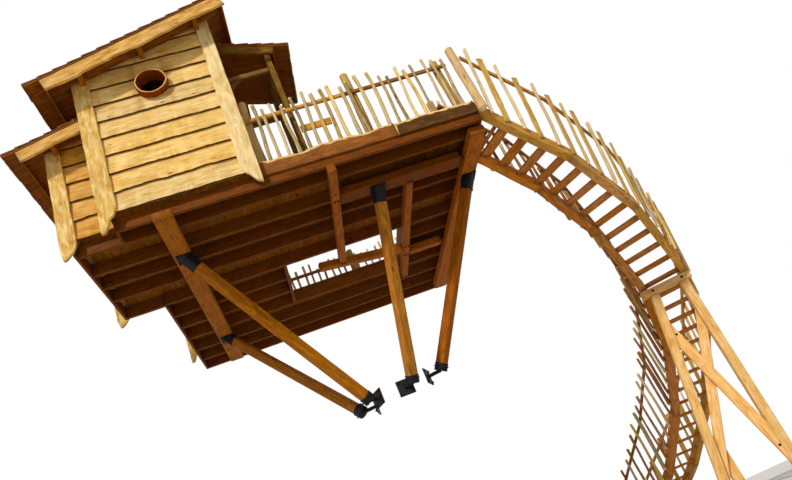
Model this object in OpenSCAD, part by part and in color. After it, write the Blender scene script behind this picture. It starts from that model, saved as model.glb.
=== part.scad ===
// Tree house on two timber beams and four raking struts, with a curved stair.
// Millimetres, +Z up. The origin lies on the bearing face of the front trunk
// bracket, whose outward normal is +Y. The front wall looks along -Y.

/* [Trunk brackets] */
// Diameter of the trunk at the brackets
trunk_d = 960; // [900:10:1040]
// Side of a square bracket pad
pad_w = 260; // [220:5:300]
// Thickness of a bracket pad
pad_t = 20; // [14:1:30]
// Diameter of the rod between pad and shoe
rod_d = 60; // [40:2:80]
// Wall of the round shoe at a strut's foot
shoe_t = 12; // [8:1:20]
// Length of strut held in its shoe
shoe_grip = 110; // [80:5:150]

/* [Struts] */
// Width of a square strut
strut_w = 165; // [140:5:180]
// Chamfer along a strut's corners
strut_chamfer = 30; // [15:1:35]
// Direction from the trunk to each strut's foot, degrees
foot_turn = [207.5, 165.9, 281.3, 335.8]; // [150:0.1:340]
// Distance of each strut's foot from the trunk's centre line
foot_reach = [649, 736, 612, 730]; // [600:1:780]
// Height of each strut's foot above the front bracket
foot_height = [66, 60, 0, 114]; // [0:1:130]
// Place of each strut's head behind the front bracket
head_place = [-1180, 2030, -1400, -892]; // [-1500:1:2200]
// Length of the steel socket at a strut's head
socket_len = 230; // [180:5:280]
// Wall of the steel socket and its plate
socket_t = 10; // [6:1:14]
// Front right strut's head to the right of the middle beam
head_right = 702; // [640:2:740]

/* [Beams] */
// Width of the left and right main beams
beam_w = 270; // [220:5:300]
// Depth of every beam below the joists
beam_h = 150; // [120:5:180]
// Width of the lighter beams round the trunk
tie_w = 130; // [100:5:150]
// Left main beam, distance from the trunk's centre line
beam_left_off = 2590; // [2450:5:2650]
// Right main beam's centre line inside the deck's right edge
beam_right_in = 207; // [180:1:300]
// Turn of the right main beam in plan, degrees
beam_right_turn = 2.9; // [0:0.1:3.5]
// Front face of the front yoke, at its left end, behind the front bracket
yoke_front = 572; // [560:2:640]
// Left end of the front yoke, from the trunk's centre line
yoke_left = 520; // [480:5:600]
// Turn of the front yoke in plan, degrees
yoke_turn = 11; // [0:0.5:14]
// Back yoke's front face ahead of the opening's back
yoke_back = 740; // [600:10:800]

/* [Deck] */
// Height of the floor above the trunk brackets
floor_h = 3210; // [3000:10:3400]
// Width of the deck along the front
deck_w = 5640; // [5400:10:5900]
// Depth of the deck from front to back
deck_d = 5640; // [5400:10:5900]
// Deck's left edge, distance from the trunk's centre line
deck_left = 3240; // [3100:10:3350]
// Deck's front edge ahead of the front bracket
deck_front = 2160; // [2060:10:2260]
// Width of a floor joist
joist_w = 60; // [45:1:80]
// Depth of a floor joist
joist_h = 225; // [180:5:260]
// Thickness of the rim boards on the joist ends
rim_t = 40; // [30:1:50]
// Thickness of the floor boards
floor_t = 45; // [35:1:55]
// Width of a floor board
floor_board_w = 138; // [110:1:180]
// Gap between floor boards
floor_gap = 6; // [3:1:10]
// Thickness of the waney edge boards round the deck
edge_t = 40; // [30:1:50]
// Mean height of the waney edge boards
edge_h = 260; // [220:5:300]
// Rise and fall of a waney edge
wane = 34; // [10:1:45]

/* [Trunk opening] */
// Width of the opening for the trunk and its limbs
open_w = 2200; // [1900:10:2250]
// Depth of the opening for the trunk and its limbs
open_d = 1480; // [1300:10:1500]
// Opening's right edge, from the trunk's centre line
open_right = 1110; // [1050:10:1180]
// Opening's front edge behind the front bracket
open_front = 330; // [325:5:600]

/* [Cabin] */
// Width of the cabin over its cladding
cab_w = 2100; // [2000:10:2300]
// Depth of the open deck behind the cabin
cab_back = 800; // [700:10:900]
// Height of the left wall from floor to soffit
cab_wall_h = 2610; // [2500:10:2750]
// Thickness of the wall frame and lining
core_t = 80; // [60:5:100]
// Greatest thickness of the lapped cladding
clad_t = 38; // [30:1:45]
// Thickness of a cladding board at its upper edge
clad_thin = 16; // [10:1:22]
// Height of a cladding board on show
clad_pitch = 348; // [300:4:400]
// Drop of the cladding below the floor's top
clad_drop = 30; // [20:1:40]
// Width of the doorway
door_w = 800; // [700:10:900]
// Height of the doorway
door_h = 1900; // [1800:10:2000]
// Doorway's front side behind the cabin's front
door_set = 580; // [540:10:700]

/* [Bay] */
// Width of the side bay over its cladding
bay_w = 678; // [600:5:740]
// Depth of the side bay over its cladding
bay_d = 2310; // [2200:10:2400]
// Bay's front behind the cabin's front
bay_set = 360; // [320:10:420]
// Height from floor to bay soffit at the cabin wall
bay_wall_h = 1893; // [1800:10:2000]
// Pitch of the bay roof, degrees
bay_pitch = 15.6; // [12:0.2:18]

/* [Window] */
// Outer diameter of the hollow log round the window
ring_d = 528; // [460:4:560]
// Diameter of the window's hole
ring_hole = 424; // [340:4:440]
// Length of the hollow log in front of the cladding
ring_proud = 110; // [60:5:140]
// Window's centre from the cabin's left side
ring_x = 1074; // [1000:10:1120]
// Window's centre above the floor
ring_z = 2172; // [2050:10:2200]

/* [Roofs] */
// Pitch of the main roof, degrees
roof_pitch = 17.2; // [14:0.2:19]
// Thickness of the roof boarding
roof_t = 30; // [22:1:40]
// Width of a purlin
purlin_w = 80; // [60:5:100]
// Depth of a purlin
purlin_h = 140; // [100:5:160]
// Overhang of the main roof at the front and back
roof_over = 360; // [300:10:420]
// Overhang of the main roof past the left wall
roof_left = 450; // [400:10:520]
// Overhang of the main roof past the right wall
roof_right = 396; // [340:10:440]
// Further reach of the roof covering at the low edge
drip = 264; // [150:4:300]
// Further reach of the bay's roof covering at the low edge
bay_drip = 214; // [150:4:260]
// Depth of the waney fascia boards
fascia_h = 270; // [220:5:300]
// Thickness of the fascia boards
fascia_t = 40; // [30:1:50]
// Exposed length of a roof shake
shake_pitch = 250; // [200:5:300]
// Thickness of a roof shake at its butt
shake_t = 26; // [18:1:32]

/* [Porch] */
// Porch's front behind the cabin's front
porch_set = 280; // [240:10:320]
// Depth of the porch
porch_d = 1400; // [1300:10:1500]
// Width of the porch roof from the cabin wall
porch_w = 1050; // [950:10:1150]
// Height from floor to porch soffit at the cabin wall
porch_h = 2951; // [2850:10:3000]
// Pitch of the porch roof, degrees
porch_pitch = 19.8; // [16:0.2:22]
// Further reach of the porch covering at the low edge
porch_drip = 240; // [160:5:280]
// Width of a square porch post
post_w = 90; // [70:5:110]
// Inset of the porch posts from the roof's end
post_in = 200; // [150:5:240]
// Height of the porch's ties above the floor
porch_tie = 2145; // [2050:5:2200]
// Depth of the porch fascia
porch_fascia_h = 185; // [140:5:220]
// Depth of the plate on the porch posts
plate_h = 284; // [220:2:320]

/* [Railings] */
// Height of the handrail's top above the floor
rail_h = 1110; // [1000:10:1150]
// Depth of a handrail
rail_w = 70; // [50:5:90]
// Thickness of a handrail
rail_t = 45; // [35:1:55]
// Mean length of a stick above the floor
stick_h = 1290; // [1200:10:1350]
// Mean diameter of a stick
stick_d = 52; // [40:1:60]
// Spacing of the sticks
stick_pitch = 156; // [130:2:190]
// Diameter of a log post
log_d = 144; // [110:2:170]
// Height of the tall log posts at the front above the floor
tall_log_h = 1580; // [1450:10:1650]
// Diameter of the newel log at the stair's head
newel_d = 150; // [120:2:180]

/* [Stair] */
// Clear width of the stair
stair_w = 660; // [600:10:720]
// Distance from tread to tread along the walking line
going = 300; // [280:1:310]
// Height from tread to tread
rise = 202.5; // [190:0.5:208]
// Number of treads below the top one
tread_n = 31; // [26:1:32]
// Drop from the floor to the top tread
top_drop = 120; // [90:5:150]
// Depth of a tread
tread_d = 220; // [190:5:250]
// Thickness of a tread
tread_t = 40; // [30:1:50]
// Radius of the stair's curve at the walking line
stair_r = 5186; // [4900:10:5500]
// Straight length at the head of the stair
stair_lead = 340; // [250:10:450]
// Direction of the stair's head in plan, degrees
stair_turn = 22.8; // [18:0.2:28]
// Width of a stringer
stringer_t = 140; // [110:5:160]
// Depth of a stringer, measured upright
stringer_h = 210; // [180:5:240]
// Stair's centre line behind the deck's front edge
stair_set = 493; // [480:1:560]
// Height of the stair's handrails above the line of the treads
stair_rail_h = 1110; // [1000:10:1150]
// Mean length of a stick beside the stair
stair_stick_h = 1360; // [1250:10:1400]
// Spacing of the sticks beside the stair
stair_pitch = 250; // [200:50:300]
// Mean width of the slabs among the outer sticks
slab_w = 100; // [70:5:120]
// Thickness of those slabs
slab_t = 24; // [16:1:32]
// Outward lean of the outer sticks, degrees
flare = 7.5; // [4:0.5:9]

/* [Trestle] */
// Trestle's place along the stair
trestle_s = 3865; // [3600:5:4100]
// Turn of the trestle from square to the stair, degrees
trestle_turn = 10.8; // [0:0.2:14]
// Width of the square trestle timbers
leg_w = 155; // [140:5:190]
// Depth of the cap beam
cap_h = 135; // [100:5:150]
// Left leg's top from the stair's centre line
left_leg_top = 266; // [220:2:320]
// Left leg's foot from the stair's centre line
left_leg_foot = 1046; // [900:2:1100]
// Right leg's top from the stair's centre line
right_leg_top = 309; // [260:2:340]
// Right leg's foot from the stair's centre line
right_leg_foot = 175; // [120:5:260]
// Front brace: its line at the cap and at the ground, from the centre line
front_brace = [-543, 222]; // [-600:1:300]
// Back brace: its line at the cap and at the ground, from the centre line
back_brace = [549, -1102]; // [-1200:1:600]
// Thickness of the cross braces
brace_t = 60; // [40:5:70]
// Depth of the cross braces, measured level
brace_w = 184; // [140:2:200]
// Length of the short post beside the left leg's foot
foot_post_h = 840; // [700:10:1000]

/* [Hidden] */
$fn = 48;
big = 20000;
clear = 0.3;

trunk_r = trunk_d / 2;
beam_top = floor_h - floor_t - joist_h;
beam_low = beam_top - beam_h;
deck_x0 = -deck_left;
deck_x1 = deck_x0 + deck_w;
deck_y0 = -deck_front;
deck_y1 = deck_y0 + deck_d;
beam_right_off = deck_x1 - beam_right_in;
beam_mid_x = -85;
// The joists lie unevenly: their places as shares of the deck's depth.
joist_share = [0, 0.061, 0.163, 0.24, 0.32, 0.434, 0.5265, 0.617, 0.713, 0.821, 0.915, 1];
joist_last = len(joist_share) - 1;
function joist_y(i) = deck_y0 + joist_share[i] * (deck_d - joist_w);
open_x1 = open_right;
open_x0 = open_x1 - open_w;
open_y0 = open_front;
open_y1 = open_y0 + open_d;

wall_t = core_t + clad_t;
cab_x0 = deck_x0 - rim_t - 20;
cab_x1 = cab_x0 + cab_w;
cab_y0 = deck_y0 - wall_t - 2;
cab_y1 = deck_y1 - cab_back;
bay_x0 = cab_x0 - bay_w;
bay_y0 = cab_y0 + bay_set;
bay_y1 = bay_y0 + bay_d;
wall_low = floor_h - clad_drop;

// Struts in order: front left, back left, front right, far right.
pad_turn = [foot_turn[0], foot_turn[1], 270, foot_turn[3]];
head_x = [-beam_left_off + 35, -beam_left_off + 35, beam_mid_x + head_right, beam_right_off + 74];
function foot(i) = [foot_reach[i] * cos(foot_turn[i]),
    trunk_r + foot_reach[i] * sin(foot_turn[i]), foot_height[i]];
function head(i) = [head_x[i], head_place[i], beam_low];
function pad_mid(i) = [(trunk_r + pad_t / 2) * cos(pad_turn[i]),
    trunk_r + (trunk_r + pad_t / 2) * sin(pad_turn[i]), foot_height[i]];
function unit(v) = v / norm(v);
function noise(i) = let (v = sin(i * 127.1 + 31.7) * 437.585) v - floor(v);

// Children run from p towards q along their own z.
module along(p, q) {
    d = q - p;
    translate(p)
        rotate([0, acos(d.z / norm(d)), atan2(d.y, d.x)])
            children();
}
// A polygon of x and z, drawn out along y from y0 to y1.
module drawn_y(y0, y1) {
    translate([0, y1, 0]) rotate([90, 0, 0]) linear_extrude(y1 - y0) children();
}
// A polygon of y and z, drawn out along x from x0 to x1.
module drawn_x(x0, x1) {
    translate([x0, 0, 0]) rotate([90, 0, 90]) linear_extrude(x1 - x0) children();
}
module chamfered_square(w, c) {
    h = w / 2;
    polygon([[-h + c, -h], [h - c, -h], [h, -h + c], [h, h - c],
        [h - c, h], [-h + c, h], [-h, h - c], [-h, -h + c]]);
}
module block(x0, x1, y0, y1, z0, z1) {
    translate([x0, y0, z0]) cube([x1 - x0, y1 - y0, z1 - z0]);
}

// Steelwork at the trunk and under the beams
module strut_timber(i, grow = 0) {
    difference() {
        along(foot(i), head(i))
            linear_extrude(norm(head(i) - foot(i)) + strut_w)
                chamfered_square(strut_w + 2 * grow, strut_chamfer);
        block(-big, big, -big, big, beam_low - socket_t - clear, big);
    }
}
module strut_shoe(i) {
    shoe_r = strut_w / sqrt(2) - strut_chamfer / sqrt(2) + clear + shoe_t;
    difference() {
        along(foot(i), head(i))
            translate([0, 0, -shoe_t - clear]) cylinder(r = shoe_r, h = shoe_grip + shoe_t);
        along(foot(i), head(i))
            translate([0, 0, -clear])
                linear_extrude(shoe_grip + shoe_t * 2)
                    chamfered_square(strut_w + 2 * clear, strut_chamfer);
    }
}
module trunk_brackets() {
    color("#1d1d1f")
        for (i = [0:3]) {
            outer = unit(foot(i) - head(i));
            strut_shoe(i);
            difference() {
                along(foot(i) + outer * (shoe_t / 2 + clear), pad_mid(i))
                    cylinder(d = rod_d, h = norm(pad_mid(i) - foot(i)));
                translate([0, trunk_r, -big / 2]) cylinder(r = trunk_r + pad_t / 2, h = big);
                along(foot(i), head(i)) translate([0, 0, -clear]) cylinder(d = strut_w, h = big);
            }
            translate([0, trunk_r, foot_height[i]])
                rotate([0, 0, pad_turn[i]])
                    translate([trunk_r, -pad_w / 2, -pad_w / 2]) cube([pad_t, pad_w, pad_w]);
        }
}
module strut_sockets() {
    color("#1d1d1f")
        for (i = [0:3]) {
            length = norm(head(i) - foot(i));
            difference() {
                along(foot(i), head(i))
                    translate([0, 0, length - socket_len])
                        linear_extrude(socket_len + strut_w)
                            chamfered_square(strut_w + 2 * socket_t, strut_chamfer);
                block(-big, big, -big, big, beam_low - socket_t / 2, big);
                strut_timber(i, clear);
            }
            translate(head(i) - [beam_w / 2, beam_w / 2, socket_t])
                cube([beam_w, beam_w, socket_t]);
        }
}
module strut(i) { color("#a8622a") strut_timber(i); }
module strut_front_left() { strut(0); }
module strut_back_left() { strut(1); }
module strut_front_right() { strut(2); }
module strut_far_right() { strut(3); }

// Beams under the joists
module beam(x, y0, y1, w) {
    c = 20;
    translate([x, y0, beam_low])
        drawn_y(0, y1 - y0)
            polygon([[-w / 2, c], [-w / 2 + c, 0], [w / 2 - c, 0], [w / 2, c],
                [w / 2, beam_h], [-w / 2, beam_h]]);
}
module beam_left() {
    color("#b0702e") beam(-beam_left_off, deck_y0 - 160, deck_y1 - 280, beam_w);
}
module beam_right() {
    mid_y = (deck_y0 + deck_y1) / 2 - 90;
    half = deck_d / 2 - 200;
    color("#8a4a20")
        translate([beam_right_off, mid_y, 0]) rotate([0, 0, beam_right_turn])
            beam(0, -half, half, beam_w);
}
cross_y = head_place[2];
// The front yoke's own frame: x along it from its left end, y = 0 on its front face.
module at_yoke() {
    translate([-yoke_left, yoke_front, 0]) rotate([0, 0, yoke_turn]) children();
}
module beam_middle() {
    color("#9a5a26")
        difference() {
            beam(beam_mid_x, deck_y0 - 40, yoke_front + tie_w * 2, tie_w);
            at_yoke() block(-big, big, -clear, big, -big, big);
        }
}
module beam_inner() {
    color("#8a4a20") beam(open_x1 + tie_w / 2, cross_y + beam_w / 2, open_y1 + 2 * tie_w, tie_w);
}
module cross_beam() {
    color("#7d4620")
        block(beam_mid_x + tie_w / 2, beam_right_off - beam_w / 2 + 20,
            cross_y - beam_w / 2, cross_y + beam_w / 2, beam_low, beam_top);
}
module trunk_yokes() {
    color("#8f5226") {
        difference() {
            at_yoke() block(0, deck_w, 0, tie_w, beam_low, beam_top);
            block(open_x1 - clear, big, -big, big, -big, big);
        }
        block(open_x1 + tie_w, beam_right_off - beam_w, open_y1 - yoke_back,
            open_y1 - yoke_back + tie_w, beam_low, beam_top);
    }
}

// Deck
module trunk_opening(grow = 0) {
    block(open_x0 - grow, open_x1 + grow, open_y0 - grow, open_y1 + grow, -big, big);
}
// Joists that the opening cuts, with a trimmer along each side of it.
cut_joists = [for (i = [0:joist_last]) if (joist_y(i) + joist_w > open_y0 && joist_y(i) < open_y1) i];
bay_joist_y = bay_y1 - clad_t - joist_w;
module floor_joists() {
    low = floor_h - floor_t - joist_h;
    top = floor_h - floor_t;
    trim_y0 = joist_y(min(cut_joists) - 1) + joist_w + clear;
    trim_y1 = joist_y(max(cut_joists) + 1) - clear;
    color("#6f3a1c") {
        difference() {
            for (i = [0:joist_last]) {
                y = joist_y(i);
                in_bay = y > bay_y0 + wall_t - joist_w && y + joist_w < bay_joist_y;
                block(in_bay ? deck_x0 - bay_w : deck_x0, deck_x1, y, y + joist_w, low, top);
            }
            block(open_x0 - joist_w - clear, open_x1 + joist_w + clear, trim_y0, trim_y1, -big, big);
        }
        block(deck_x0 - bay_w, deck_x0 - clear, bay_joist_y, bay_joist_y + joist_w, low, top);
        for (x = [open_x0 - joist_w, open_x1]) block(x, x + joist_w, trim_y0, trim_y1, low, top);
    }
}
module rim_boards() {
    low = floor_h - floor_t - joist_h;
    top = floor_h - floor_t;
    color("#7a4220") {
        block(deck_x1, deck_x1 + rim_t, deck_y0, deck_y1, low, top);
        block(deck_x0 - rim_t, deck_x0, deck_y0, bay_y0 + wall_t - joist_w, low, top);
        block(deck_x0 - rim_t, deck_x0, bay_y1, deck_y1, low, top);
        block(deck_x0 - bay_w - rim_t, deck_x0 - bay_w, bay_y0 + clad_t, bay_joist_y + joist_w,
            low, top);
    }
}
board_step = floor_board_w + floor_gap;
module floor_boards() {
    x0 = cab_x0 + clad_t;
    n = floor((deck_x1 + rim_t - x0) / board_step);
    bay_x = bay_x0 + clad_t;
    bay_n = floor((x0 - bay_x) / board_step);
    color("#7b3f1f")
        difference() {
            union() {
                for (i = [0:n - 1]) {
                    x = x0 + i * board_step;
                    y0 = x < cab_x1 ? cab_y0 + clad_t : deck_y0;
                    block(x, x + floor_board_w, y0, deck_y1, floor_h - floor_t, floor_h);
                }
                for (i = [1:bay_n])
                    block(x0 - i * board_step, x0 - i * board_step + floor_board_w,
                        bay_y0 + clad_t, bay_y1 - clad_t, floor_h - floor_t, floor_h);
            }
            trunk_opening();
        }
}
// Outline of a board with one waney long edge, drawn on x and z.
function wavy(x, k) = wane * (0.55 * sin(x * 0.19 + k * 71) + 0.3 * sin(x * 0.47 + k * 133)
    + 0.15 * sin(x * 0.9 + k * 29));
module waney_outline(x0, x1, z0, z1, k, low_edge = false) {
    n = max(2, ceil((x1 - x0) / 150));
    xs = [for (i = [0:n]) x0 + (x1 - x0) * i / n];
    if (low_edge)
        polygon(concat([for (x = xs) [x, z0 + wavy(x, k)]], [[x1, z1], [x0, z1]]));
    else
        polygon(concat([[x1, z0], [x0, z0]], [for (x = xs) [x, z1 + wavy(x, k)]]));
}
edge_low = floor_h - 120;
stair_gap = stair_w / 2 + stringer_t + stick_d * 2;
module live_edges() {
    side_y = deck_y0 + stair_set;
    color("#c98a4a") {
        drawn_y(deck_y0 - edge_t, deck_y0)
            waney_outline(cab_x1 + clad_t, deck_x1 + rim_t, edge_low, edge_low + edge_h, 1);
        drawn_x(deck_x1 + rim_t, deck_x1 + rim_t + edge_t)
            waney_outline(side_y + stair_gap / cos(stair_turn), deck_y1, edge_low,
                edge_low + edge_h, 2);
        drawn_y(deck_y1, deck_y1 + edge_t)
            waney_outline(deck_x0 - rim_t, deck_x1 + rim_t, edge_low, edge_low + edge_h, 3);
    }
}

// Roof frames: local x runs up or down the slope, local z = 0 is the soffit.
module main_slope() {
    translate([cab_x0, 0, floor_h + cab_wall_h]) rotate([0, -roof_pitch, 0]) children();
}
module bay_slope() {
    translate([cab_x0, 0, floor_h + bay_wall_h]) rotate([0, -bay_pitch, 0]) children();
}
module porch_slope() {
    translate([cab_x1, 0, floor_h + porch_h]) rotate([0, porch_pitch, 0]) children();
}
main_u0 = -roof_left / cos(roof_pitch);
main_u1 = (cab_w + roof_right) / cos(roof_pitch);
main_y0 = cab_y0 - roof_over;
main_y1 = cab_y1 + roof_over;
bay_u0 = -(bay_w + roof_left - 50) / cos(bay_pitch);
bay_over = 300;
bay_ry0 = bay_y0 - bay_over;
bay_ry1 = bay_y1 + bay_over;
porch_y0 = cab_y0 + porch_set;
porch_y1 = porch_y0 + porch_d;
porch_u1 = porch_w / cos(porch_pitch);
module above(gap = clear) { block(-big, big, -big, big, -gap, big); }

// Purlins stand plumb with a bevelled top. The same pieces, a little larger and open to
// the top, cut the walls that they pass.
function main_soffit(x) = floor_h + cab_wall_h + (x - cab_x0) * tan(roof_pitch);
function bay_soffit(x) = floor_h + bay_wall_h + (x - cab_x0) * tan(bay_pitch);
module purlin(x, top0, top1, y0, y1, grow) {
    low = top0 - purlin_h - grow;
    open_top = grow == 0 ? 0 : big;
    drawn_y(y0, y1)
        polygon([[x - grow, low], [x + purlin_w + grow, low],
            [x + purlin_w + grow, top1 + open_top], [x - grow, top0 + open_top]]);
}
module main_purlin_set(grow = 0) {
    places = [cab_x0 + clad_t, (cab_x0 + cab_x1 - purlin_w) / 2, cab_x1 - clad_t - purlin_w];
    for (x = places) purlin(x, main_soffit(x), main_soffit(x + purlin_w), main_y0, main_y1, grow);
}
module main_purlins() { color("#8f5428") main_purlin_set(); }
module bay_purlin_set(grow = 0) {
    x = bay_x0 + clad_t;
    purlin(x, bay_soffit(x), bay_soffit(x + purlin_w), bay_ry0, bay_ry1, grow);
}
module bay_purlins() { color("#8f5428") bay_purlin_set(); }

// Lapped cladding: a saw-tooth section, thickness on x, outer face towards -x.
module lapped_section(height) {
    n = ceil(height / clad_pitch);
    polygon(concat([for (i = [0:n - 1]) each [[-clad_t, i * clad_pitch],
        [-clad_thin, (i + 1) * clad_pitch]]], [[0, n * clad_pitch], [0, 0]]));
}
// A wall that looks along -Y, with its outer face at y0.
module wall_y(x0, x1, y0, height) {
    translate([x0, y0 + clad_t, wall_low])
        rotate([90, 0, 90]) linear_extrude(x1 - x0) lapped_section(height);
    block(x0 + clad_t, x1 - clad_t, y0 + clad_t, y0 + wall_t, floor_h, floor_h + height);
}
// A wall that looks along -X, with its outer face at x0.
module wall_x(y0, y1, x0, height) {
    translate([x0 + clad_t, y1, wall_low])
        rotate([90, 0, 0]) linear_extrude(y1 - y0) lapped_section(height);
    block(x0 + clad_t, x0 + wall_t, y0, y1, floor_h, floor_h + height);
}
tall = cab_wall_h + cab_w;
module under_main() {
    difference() {
        children();
        main_slope() above();
        main_purlin_set(clear);
    }
}
module under_bay() {
    difference() {
        children();
        bay_slope() above();
        bay_purlin_set(clear);
    }
}
module flip_y(y) { translate([0, y, 0]) mirror([0, 1, 0]) children(); }
module flip_x(x) { translate([x, 0, 0]) mirror([1, 0, 0]) children(); }
ring_at = [cab_x0 + ring_x, cab_y0, floor_h + ring_z];
module front_wall() {
    color("#dfa75c")
        under_main()
            difference() {
                wall_y(cab_x0, cab_x1, cab_y0, tall);
                translate(ring_at) rotate([90, 0, 0])
                    cylinder(d = ring_d + 2 * clear, h = 4 * wall_t, center = true);
            }
}
module back_wall() {
    color("#dfa75c")
        under_main()
            difference() {
                flip_y(cab_y1) wall_y(cab_x0, cab_x1, 0, tall);
                block(-big, big, -big, big, wall_low - 1, floor_h);
            }
}
side_y0 = cab_y0 + clad_t + core_t + clear;
side_y1 = cab_y1 - clad_t - core_t - clear;
module left_wall() {
    color("#d79c50")
        under_main()
            difference() {
                wall_x(side_y0, side_y1, cab_x0, tall);
                block(-big, big, bay_y0, bay_y1, wall_low - 1, floor_h);
                block(-big, big, bay_y0 + wall_t, bay_y1 - wall_t, floor_h - 1,
                    floor_h + bay_wall_h - 260);
                bay_slope() block(bay_u0, 1, bay_ry0 - fascia_t, bay_ry1 + fascia_t, -clear,
                    roof_t + 3 * shake_t);
                block(bay_x0, cab_x0 + clad_t, bay_y0, bay_y1, floor_h - 1,
                    floor_h + bay_wall_h);
            }
}
module right_wall() {
    color("#d79c50")
        under_main()
            difference() {
                flip_x(cab_x1) wall_x(side_y0, side_y1, 0, tall);
                block(-big, big, -big, big, wall_low - 1, floor_h);
                block(-big, big, cab_y0 + door_set, cab_y0 + door_set + door_w, wall_low - 1,
                    floor_h + door_h);
                porch_slope() block(-big / 10, porch_u1, porch_y0, porch_y1, -clear,
                    roof_t + 3 * shake_t);
            }
}
module bay_front_wall() {
    color("#d8a054") under_bay() wall_y(bay_x0, cab_x0 - clear, bay_y0, bay_wall_h);
}
module bay_back_wall() {
    color("#d8a054") under_bay() flip_y(bay_y1) wall_y(bay_x0, cab_x0 - clear, 0, bay_wall_h);
}
module bay_side_wall() {
    color("#d8a054")
        under_bay() wall_x(bay_y0 + wall_t + clear, bay_y1 - wall_t - clear, bay_x0, bay_wall_h);
}
module window_ring() {
    color("#9c4a22")
        translate(ring_at) rotate([90, 0, 0])
            difference() {
                translate([0, 0, -wall_t]) cylinder(d = ring_d, h = wall_t + ring_proud);
                translate([0, 0, -2 * wall_t]) cylinder(d = ring_hole, h = big / 10);
            }
}

// Corner boards: waney planks that end in a hanging tongue on their outer side. The
// tongue narrows from z_swoop down to the tip; a larger bulge gives a fuller curve. At the
// tip its two edges stand at shares of the board's width.
corner_t = 45;
long_tip = -370;
short_tip = -288;
bay_tip = -354;
module corner_outline(w_low, w_top, z_top, k, z_swoop, bulge, tip, shares) {
    n = ceil((z_top - z_swoop) / 220);
    zs = [for (i = [0:n]) z_swoop + (z_top - z_swoop) * i / n];
    function w_at(z) = w_low + (w_top - w_low) * (z - z_swoop) / (z_top - z_swoop);
    swoop = [for (t = [0.875:-0.125:0.125])
        [w_low * (shares[1] + (1 - shares[1]) * pow(1 - pow(t, bulge), 1 / bulge)),
            z_swoop + (tip - z_swoop) * t]];
    polygon(concat([[0, z_top]],
        [[w_low * 0.04 * (noise(k) - 0.5), z_top / 2], [0, 0], [w_low * shares[0], tip]],
        [[w_low * shares[1], tip]], swoop,
        [for (z = zs) [w_at(z) + wavy(z, k + 5) * 0.3, z]]));
}
module corner_board(x, y, w_low, w_top, z_top, k, z_swoop, bulge, tip, shares) {
    translate([x, 0, floor_h])
        drawn_y(y - corner_t, y) corner_outline(w_low, w_top, z_top, k, z_swoop, bulge, tip, shares);
}
corner_over = 125;
corner_w = 275;
left_top = cab_wall_h * 1.08;
module front_corner_boards() {
    color("#ecc583") {
        difference() {
            union() {
                corner_board(cab_x0 - corner_over, cab_y0, corner_w, corner_w - 25, left_top, 1, 22, 1,
                    long_tip, [0.01, 0.24]);
                flip_x(cab_x1 + corner_over)
                    corner_board(0, cab_y0, corner_w, corner_w - 85, cab_wall_h + cab_w, 2, 60, 1.15,
                        short_tip, [0.05, 0.09]);
            }
            main_slope() above();
            main_purlin_set(clear);
        }
        difference() {
            corner_board(bay_x0 - corner_over, bay_y0, corner_w - 30, corner_w - 50, bay_wall_h, 3,
                -90, 1.5, bay_tip, [0.12, 0.34]);
            bay_slope() above();
            bay_purlin_set(clear);
        }
    }
}
module back_corner_boards() {
    color("#d9b070") {
        difference() {
            flip_y(cab_y1) union() {
                corner_board(cab_x0 - corner_over, 0, corner_w, corner_w - 25, left_top, 4, 22, 1,
                    long_tip, [0.01, 0.24]);
                flip_x(cab_x1 + corner_over)
                    corner_board(0, 0, corner_w, corner_w - 85, cab_wall_h + cab_w, 5, 60, 1.15,
                        short_tip, [0.05, 0.09]);
            }
            main_slope() above();
            main_purlin_set(clear);
            block(deck_x0 - rim_t - clear, big, -big, big, 0, floor_h + clear);
        }
        difference() {
            flip_y(bay_y1)
                corner_board(bay_x0 - corner_over, 0, corner_w - 30, corner_w - 50, bay_wall_h, 6,
                    -90, 1.5, bay_tip, [0.12, 0.34]);
            bay_slope() above();
            bay_purlin_set(clear);
        }
    }
}

// Roofs: boarding, lapped shakes and fascias
module shake_section(u0, u1) {
    n = ceil((u1 - u0) / shake_pitch);
    step = (u1 - u0) / n;
    polygon(concat([[u1, 0], [u0, 0]],
        [for (i = [0:n - 1]) each [[u0 + i * step, 2 * shake_t], [u0 + (i + 1) * step, shake_t]]]));
}
module main_roof_deck() {
    color("#7c4324")
        main_slope() block(main_u0 - drip, main_u1 + 40, main_y0, main_y1, 0, roof_t);
}
module main_roof_shakes() {
    color("#8c4a2a")
        main_slope() translate([0, 0, roof_t])
            drawn_y(main_y0 - fascia_t - 20, main_y1 + fascia_t + 20)
                shake_section(main_u0 - drip - 15, main_u1 + 55);
}
module main_fascias() {
    for (side = [0, 1]) {
        y = side == 0 ? main_y0 - fascia_t : main_y1;
        color("#ecc583")
            main_slope() drawn_y(y, y + fascia_t)
                waney_outline(main_u0 - 25, main_u1, roof_t - fascia_h, roof_t, 7 + side, true);
    }
    color("#7c3b20")
        main_slope() {
            block(main_u0 - 25, main_u0, main_y0 + clear, main_y1 - clear, -150, 0);
            block(main_u1 - 25, main_u1, main_y0 + clear, main_y1 - clear, -150, 0);
        }
}
module bay_roof_deck() {
    color("#7c4324") bay_slope() block(bay_u0 - bay_drip, 0, bay_ry0, bay_ry1, 0, roof_t);
}
module bay_roof_shakes() {
    color("#8c4a2a")
        difference() {
            bay_slope() translate([0, 0, roof_t])
                drawn_y(bay_ry0 - fascia_t - 20, bay_ry1 + fascia_t + 20)
                    shake_section(bay_u0 - bay_drip - 15, 0);
            block(cab_x0 - corner_over - clear, big, -big, cab_y0 + 100, 0, big);
        }
}
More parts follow.
